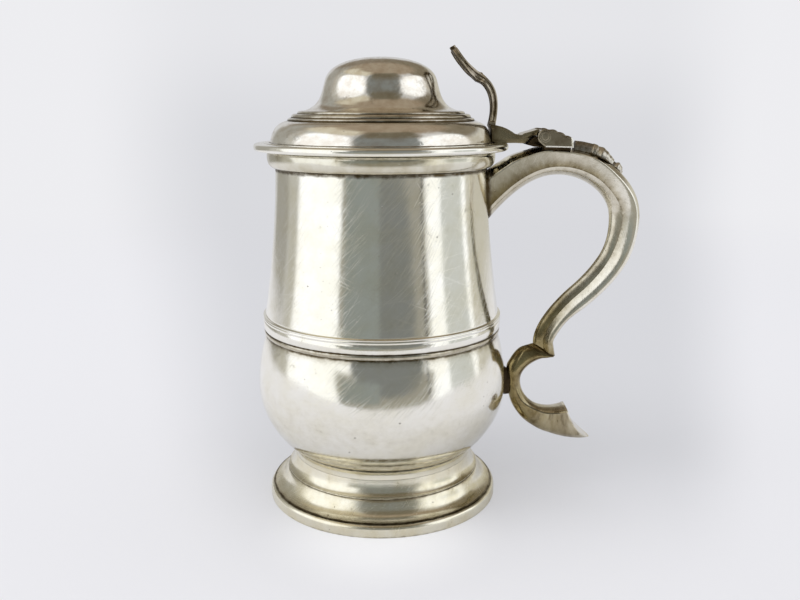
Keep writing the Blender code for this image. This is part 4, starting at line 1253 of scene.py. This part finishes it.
def hinge_pieces():
    end_plate("end_plate_near", "hinge_end_plate_near", -1)
    end_plate("end_plate_far", "hinge_end_plate_far", 1)
    count = len(KNUCKLES)
    length = (2 * BARREL_HALF - (count - 1) * KNUCKLE_GAP) / count
    for index, node in enumerate(KNUCKLES):
        low = -BARREL_HALF + index * (length + KNUCKLE_GAP)
        high = low + length
        outline = [(KNUCKLE_BORE, low), (KNUCKLE_RADIUS, low), (KNUCKLE_RADIUS, high), (KNUCKLE_BORE, high)]
        profile = rounded(outline, KNUCKLE_CORNER, 4)
        barrel(node.replace("knuckle", "barrel"), node, profile + [profile[0]], CAST)
    head = [(radius, PLATE_OUTER + rise) for radius, rise in PIN_HEAD]
    barrel("pin", "hinge_pin", head + [(radius, -place) for radius, place in reversed(head)], DULL)


def solid_copy(node):
    """The node's own shape, in millimetres about the vessel's axis."""
    bm = bmesh.new()
    bm.from_mesh(frame["nodes"][node].data)
    bmesh.ops.remove_doubles(bm, verts=bm.verts, dist=1e-6)
    bmesh.ops.scale(bm, verts=bm.verts, vec=(1 / MM, 1 / MM, 1 / MM))
    bmesh.ops.translate(bm, verts=bm.verts, vec=(-AXIS_X, 0, 0))
    bmesh.ops.dissolve_limit(bm, angle_limit=math.radians(2), verts=bm.verts, edges=bm.edges)
    return bm


def soften(bm, width, sharp_degrees=28):
    """Rounds the sharp edges."""
    sharp = []
    for edge in bm.edges:
        if len(edge.link_faces) == 2 and edge.calc_face_angle(0) > math.radians(sharp_degrees):
            sharp.append(edge)
    bmesh.ops.bevel(bm, geom=sharp, offset=width, segments=3, profile=0.5, affect="EDGES", clamp_overlap=True)


def prism(bm, outline, half):
    """Adds a closed prism across the hinge's axis from an (x, height) outline."""
    near, far = ([bm.verts.new((x, across, z)) for x, z in outline] for across in (-half, half))
    count = len(outline)
    faces = [bm.faces.new(near), bm.faces.new(far)]
    for i in range(count):
        j = (i + 1) % count
        faces.append(bm.faces.new((near[i], near[j], far[j], far[i])))
    bmesh.ops.recalc_face_normals(bm, faces=faces)


def saddle():
    """Hinge plate on the handle, a little deeper than its solid, with the cradle under the knuckles, all
    near-black as painted shade under the hinge.
    """
    bm = solid_copy("hinge_saddle")
    lowest = min(vert.co.z for vert in bm.verts)
    for vert in bm.verts:
        if vert.co.z < lowest + SADDLE_BASE_REACH:
            vert.co.z -= SADDLE_DEEPER
    soften(bm, SADDLE_CORNER)
    prism(bm, CRADLE, BARREL_HALF)
    finish_piece("saddle", "hinge_saddle", bm, [SOLDER_AND_SHADE], smooth_degrees=30)


def lid_strap():
    """Strap from the lid to its knuckles, deepened by cheeks that reach down to the lid's rim."""
    bm = solid_copy("lid_hinge_strap")
    prism(bm, CHEEK, CHEEK_HALF)
    soften(bm, CHEEK_CORNER)
    tarnish_and_shade = bm.verts.layers.float.new("tarnish_and_shade")
    golden = bm.verts.layers.float.new("patina")
    for vert in bm.verts:
        vert[tarnish_and_shade] = STRAP_FOOT_TARNISH * fade(vert.co.x - STRAP_FOOT, STRAP_FOOT_REACH)
        vert[golden] = STRAP_GOLD
    bm.normal_update()
    for face in bm.faces:
        # Upward faces near the knuckles are lighter, worn and a painted highlight
        worn_and_highlit = face.calc_center_median().x > STRAP_WORN_LIT_FROM and face.normal.z > STRAP_WORN_LIT_SLOPE
        face.material_index = 1 if worn_and_highlit else 0
    finish_piece("strap", "lid_hinge_strap", bm, [STREAKED, WORN_LIT_EDGE], smooth_degrees=30)


# Thumbpiece


def sheet_point(place, across, lift):
    """Point on the thumbpiece's curved sheet, lifted towards the thumb."""
    point, tangent = curve_frame(THUMB_CURVE, place)
    return Vector((point.x + tangent.y * lift, across, point.y - tangent.x * lift))


def squared(value):
    return math.copysign(abs(value) ** BAR_SQUARENESS, value)


def sheet_bar(bm, path, half_width, low_share, high_share):
    """Rounded bar along (place, across) points of the sheet, between two shares of its thickness."""
    count = len(path)
    rings = []
    for index, (place, across) in enumerate(path):
        before = sheet_point(*path[max(index - 1, 0)], 0)
        after = sheet_point(*path[min(index + 1, count - 1)], 0)
        thick = table_value(THUMB_DEPTH, place)
        low = thick * low_share
        high = thick * high_share
        centre = sheet_point(place, across, (low + high) / 2)
        out = (sheet_point(place, across, 1) - sheet_point(place, across, 0)).normalized()
        side = (after - before).normalized().cross(out).normalized()
        width = half_width(index / (count - 1))
        ring = []
        for angle in full_turn(BAR_SIDES):
            wide = side * width * squared(math.cos(angle))
            ring.append(bm.verts.new(centre + wide + out * ((high - low) / 2) * squared(math.sin(angle))))
        rings.append(ring)
    for ring, after in zip(rings, rings[1:]):
        for i in range(BAR_SIDES):
            j = (i + 1) % BAR_SIDES
            bm.faces.new((ring[i], ring[j], after[j], after[i]))
    close_ends(bm, rings)


def smooth_path(knots, steps, side=1):
    """Smooth line through (place, across) knots, on one side of the middle or the other."""
    knots = [Vector((place, side * across)) for place, across in knots]
    points = []
    for index in range(len(knots) - 1):
        b, c = knots[index:index + 2]
        a = knots[max(index - 1, 0)]
        d = knots[min(index + 2, len(knots) - 1)]
        for step in range(steps):
            t = step / steps
            spot = 2 * b + (c - a) * t + (2 * a - 5 * b + 4 * c - d) * t * t + (3 * b - a - 3 * c + d) * t**3
            points.append(tuple(spot / 2))
    points.append(tuple(knots[-1]))
    return points


def thumbpiece():
    """Openwork of two stem bars, a knot, two scrolls and a middle plume, cast as one piece."""
    bm = bmesh.new()
    for low, high, share in THUMB_LAYERS:
        for side in (-1, 1):
            sheet_bar(bm, smooth_path(THUMB_STEM, 10, side), lambda t: THUMB_STEM_HALF * share, low, high)
            scroll = smooth_path(THUMB_SCROLL, 10, side)
            if high < 0:
                scroll = scroll[:-LOW_LAYER_SHORTER]
            sheet_bar(bm, scroll, lambda t: (THUMB_SCROLL_HALF - THUMB_SCROLL_NARROWS * t) * share, low, high)
    plume = smooth_path(THUMB_PLUME, 12)
    sheet_bar(bm, plume, lambda t: THUMB_PLUME_HALF + THUMB_PLUME_FLARE * t**3, *THUMB_PLUME_SIDES)
    web = smooth_path(THUMB_WEB, 14)
    sheet_bar(bm, web, lambda t: THUMB_WEB_HALF - THUMB_WEB_WAIST * math.sin(math.pi * t), *THUMB_WEB_SIDES)
    for place, reach, half, low, high in THUMB_CROSSBARS:
        path = [(place, across) for across in steps_between(-reach, reach, 14)]
        sheet_bar(bm, path, lambda t: half, low, high)
    bmesh.ops.recalc_face_normals(bm, faces=bm.faces)
    bm = grown_together(bm)
    stain_hollows_shade_undersides(bm)
    finish_piece("thumb", "thumbpiece", bm, [CAST], smooth_degrees=180)


def grown_together(bm):
    """Overlapping closed bars made into one smooth skin."""
    mesh = new_mesh("draft", bm)
    draft = new_object("draft", mesh)
    remesh = draft.modifiers.new("skin", "REMESH")
    remesh.mode = "VOXEL"
    remesh.voxel_size = THUMB_GRAIN
    smooth = draft.modifiers.new("smooth", "SMOOTH")
    smooth.factor = 0.5
    smooth.iterations = 2
    graph = bpy.context.evaluated_depsgraph_get()
    bm = bmesh.new()
    bm.from_mesh(draft.evaluated_get(graph).to_mesh())
    bpy.data.objects.remove(draft)
    bpy.data.meshes.remove(mesh)
    bm.normal_update()
    return bm


def stain_hollows_shade_undersides(bm):
    """Tarnish where the skin is hollow, and painted shade where it is turned away from the lit direction,
    spread a little.
    """
    tarnish_and_shade = bm.verts.layers.float.new("tarnish_and_shade")
    for vert in bm.verts:
        around = [edge.other_vert(vert).co for edge in vert.link_edges]
        middle = sum(around, Vector()) / len(around)
        hollow = (middle - vert.co).dot(vert.normal) / THUMB_GRAIN * HOLLOW_TARNISH
        # Painted shade on faces turned away from the lit direction
        shaded = UNDERSIDE_SHADE - vert.normal.dot(Vector(LIT_FACING))
        vert[tarnish_and_shade] = max(0.0, min(1.0, max(hollow, shaded)))
    for _ in range(3):
        spread = {}
        for vert in bm.verts:
            near = [edge.other_vert(vert)[tarnish_and_shade] for edge in vert.link_edges]
            spread[vert] = (vert[tarnish_and_shade] + sum(near)) / (1 + len(near))
        for vert, value in spread.items():
            vert[tarnish_and_shade] = value


# Studio


def direction_patch(nodes, azimuth, elevation, across, up, soft_across, soft_up):
    """Mask of a soft-edged patch of directions."""
    return nodes.times(nodes.band(azimuth, across, soft_across), nodes.band(elevation, up, soft_up))


def rounded_patch(nodes, azimuth, elevation, middle, reach, soft, top):
    """Mask of a patch of directions with round corners, cut off above a top."""
    total = 0.0
    for value, centre, half in zip((azimuth, elevation), middle, reach):
        away = nodes.math("DIVIDE", nodes.math("SUBTRACT", value, centre), half)
        total = nodes.math("ADD", nodes.math("POWER", nodes.math("ABSOLUTE", away), ROOM_ROUNDNESS), total)
    mask = nodes.fall(total, 1 - soft, 1 + soft)
    return nodes.times(mask, nodes.fall(elevation, top - ROOM_TOP_SOFT, top + ROOM_TOP_SOFT))


def shade_behind(nodes, x, y):
    """Fixed wedge of soft shade on what lies behind the object, by the sideways slope x over y."""
    slope = nodes.math("DIVIDE", x, nodes.math("MAXIMUM", y, SHADE_NEAREST))
    wedge = nodes.times(nodes.ramp(slope, *SHADE_LEFT), nodes.fall(slope, *SHADE_RIGHT))
    return nodes.times(wedge, nodes.ramp(y, *SHADE_START))


def studio_world():
    """Even light, a pale view for the camera, and side panels with a dim room for what metal reflects."""
    world = bpy.data.worlds.new("studio")
    bpy.context.scene.world = world
    world.use_nodes = True
    world.cycles.sampling_method = "NONE"
    nodes = Nodes(world.node_tree)
    direction = nodes.add("ShaderNodeSeparateXYZ")
    nodes.give(direction, 0, nodes.add("ShaderNodeTexCoord").outputs["Generated"])
    x, y, z = direction.outputs
    azimuth = nodes.times(nodes.math("ARCTAN2", x, nodes.times(y, -1.0)), DEGREES)
    elevation = nodes.times(nodes.math("ARCSINE", z), DEGREES)
    room = BACKDROP
    for patch, rows in (
        (direction_patch, STUDIO_PATCHES), (rounded_patch, ROOM_PATCHES), (direction_patch, ROOM_DETAILS),
    ):
        for colour, *shape in rows:
            room = nodes.mix(patch(nodes, azimuth, elevation, *shape), room, colour)
    rays = nodes.add("ShaderNodeLightPath").outputs
    seen = nodes.mix(rays["Is Glossy Ray"], EVEN_LIGHT, room)
    shade = nodes.times(shade_behind(nodes, x, y), nodes.fall(z, *SHADE_HEIGHTS, SHADE_ABOVE))
    seen = nodes.mix(rays["Is Camera Ray"], seen, nodes.mix(shade, PALE, PALE_SHADE))
    nodes.give(world.node_tree.nodes["Background"], "Color", seen)


def floor_material():
    """Pale floor with some light of its own and a painted pool of light in front of the foot, clear far out,
    and for metal also past its near end.
    """
    material, nodes, shader = new_material("floor")
    nodes.give(shader, "Roughness", 1.0)
    nodes.give(shader, "Specular IOR Level", 0.0)
    place = nodes.add("ShaderNodeSeparateXYZ")
    nodes.give(place, 0, nodes.add("ShaderNodeNewGeometry").outputs["Position"])
    x, y, _ = place.outputs
    rays = nodes.add("ShaderNodeLightPath").outputs
    behind = shade_behind(nodes, x, nodes.math("ADD", y, -CAMERA_PLACE[1] * MM))
    pale = nodes.mix(nodes.times(behind, nodes.ramp(y, *FLOOR_SHADE_START)), PALE, FLOOR_SHADE)
    nodes.give(shader, "Base Color", pale)
    own = nodes.add("ShaderNodeEmission")
    glow = nodes.fall(nodes.away(x, y, FOOT_GLOW_PLACE), *FOOT_GLOW_FADE)
    nodes.give(own, "Color", nodes.mix(glow, pale, FOOT_GLOW))
    lit = nodes.shaders(nodes.times(rays["Is Camera Ray"], FLOOR_OWN), shader, own)
    hidden = nodes.times(nodes.fall(y, *TABLE_END), rays["Is Glossy Ray"])
    clear = nodes.math("MAXIMUM", nodes.ramp(nodes.away(x, y, (0.0, 0.0)), *FLOOR_FADE), hidden)
    surface = nodes.shaders(clear, lit, nodes.add("ShaderNodeBsdfTransparent"))
    nodes.give(material.node_tree.nodes["Material Output"], "Surface", surface.outputs[0])
    return material


def stage():
    bm = bmesh.new()
    bmesh.ops.create_grid(bm, x_segments=1, y_segments=1, size=FLOOR_HALF)
    floor = new_object("floor", new_mesh("floor", bm))
    floor.data.materials.append(floor_material())

    lamp = bpy.data.lights.new("side_light", "AREA")
    lamp.shape = "DISK"
    lamp.size = LAMP_SIZE
    lamp.energy = LAMP_POWER
    holder = new_object("side_light", lamp)
    holder.location = LAMP_PLACE
    holder.rotation_euler = (Vector(LAMP_AIM) - Vector(LAMP_PLACE)).to_track_quat("-Z", "Y").to_euler()
    holder.visible_camera = False
    holder.visible_glossy = False

    camera = bpy.data.cameras.new("camera")
    camera.lens = CAMERA_LENS
    camera.sensor_width = CAMERA_SENSOR
    holder = new_object("camera", camera)
    holder.location = Vector(CAMERA_PLACE) * MM + Vector((AXIS_X * MM, 0, 0))
    holder.rotation_euler = (CAMERA_TILT, 0, 0)
    bpy.context.scene.camera = holder


vessel_pieces()
foot_pieces()
lid_pieces()
handle_pieces()
scroll_pieces()
hinge_pieces()
leaf_drop()
thumbpiece()
saddle()
lid_strap()
solder_pad()
studio_world()
stage()

bpy.context.scene.view_settings.view_transform = "Standard"
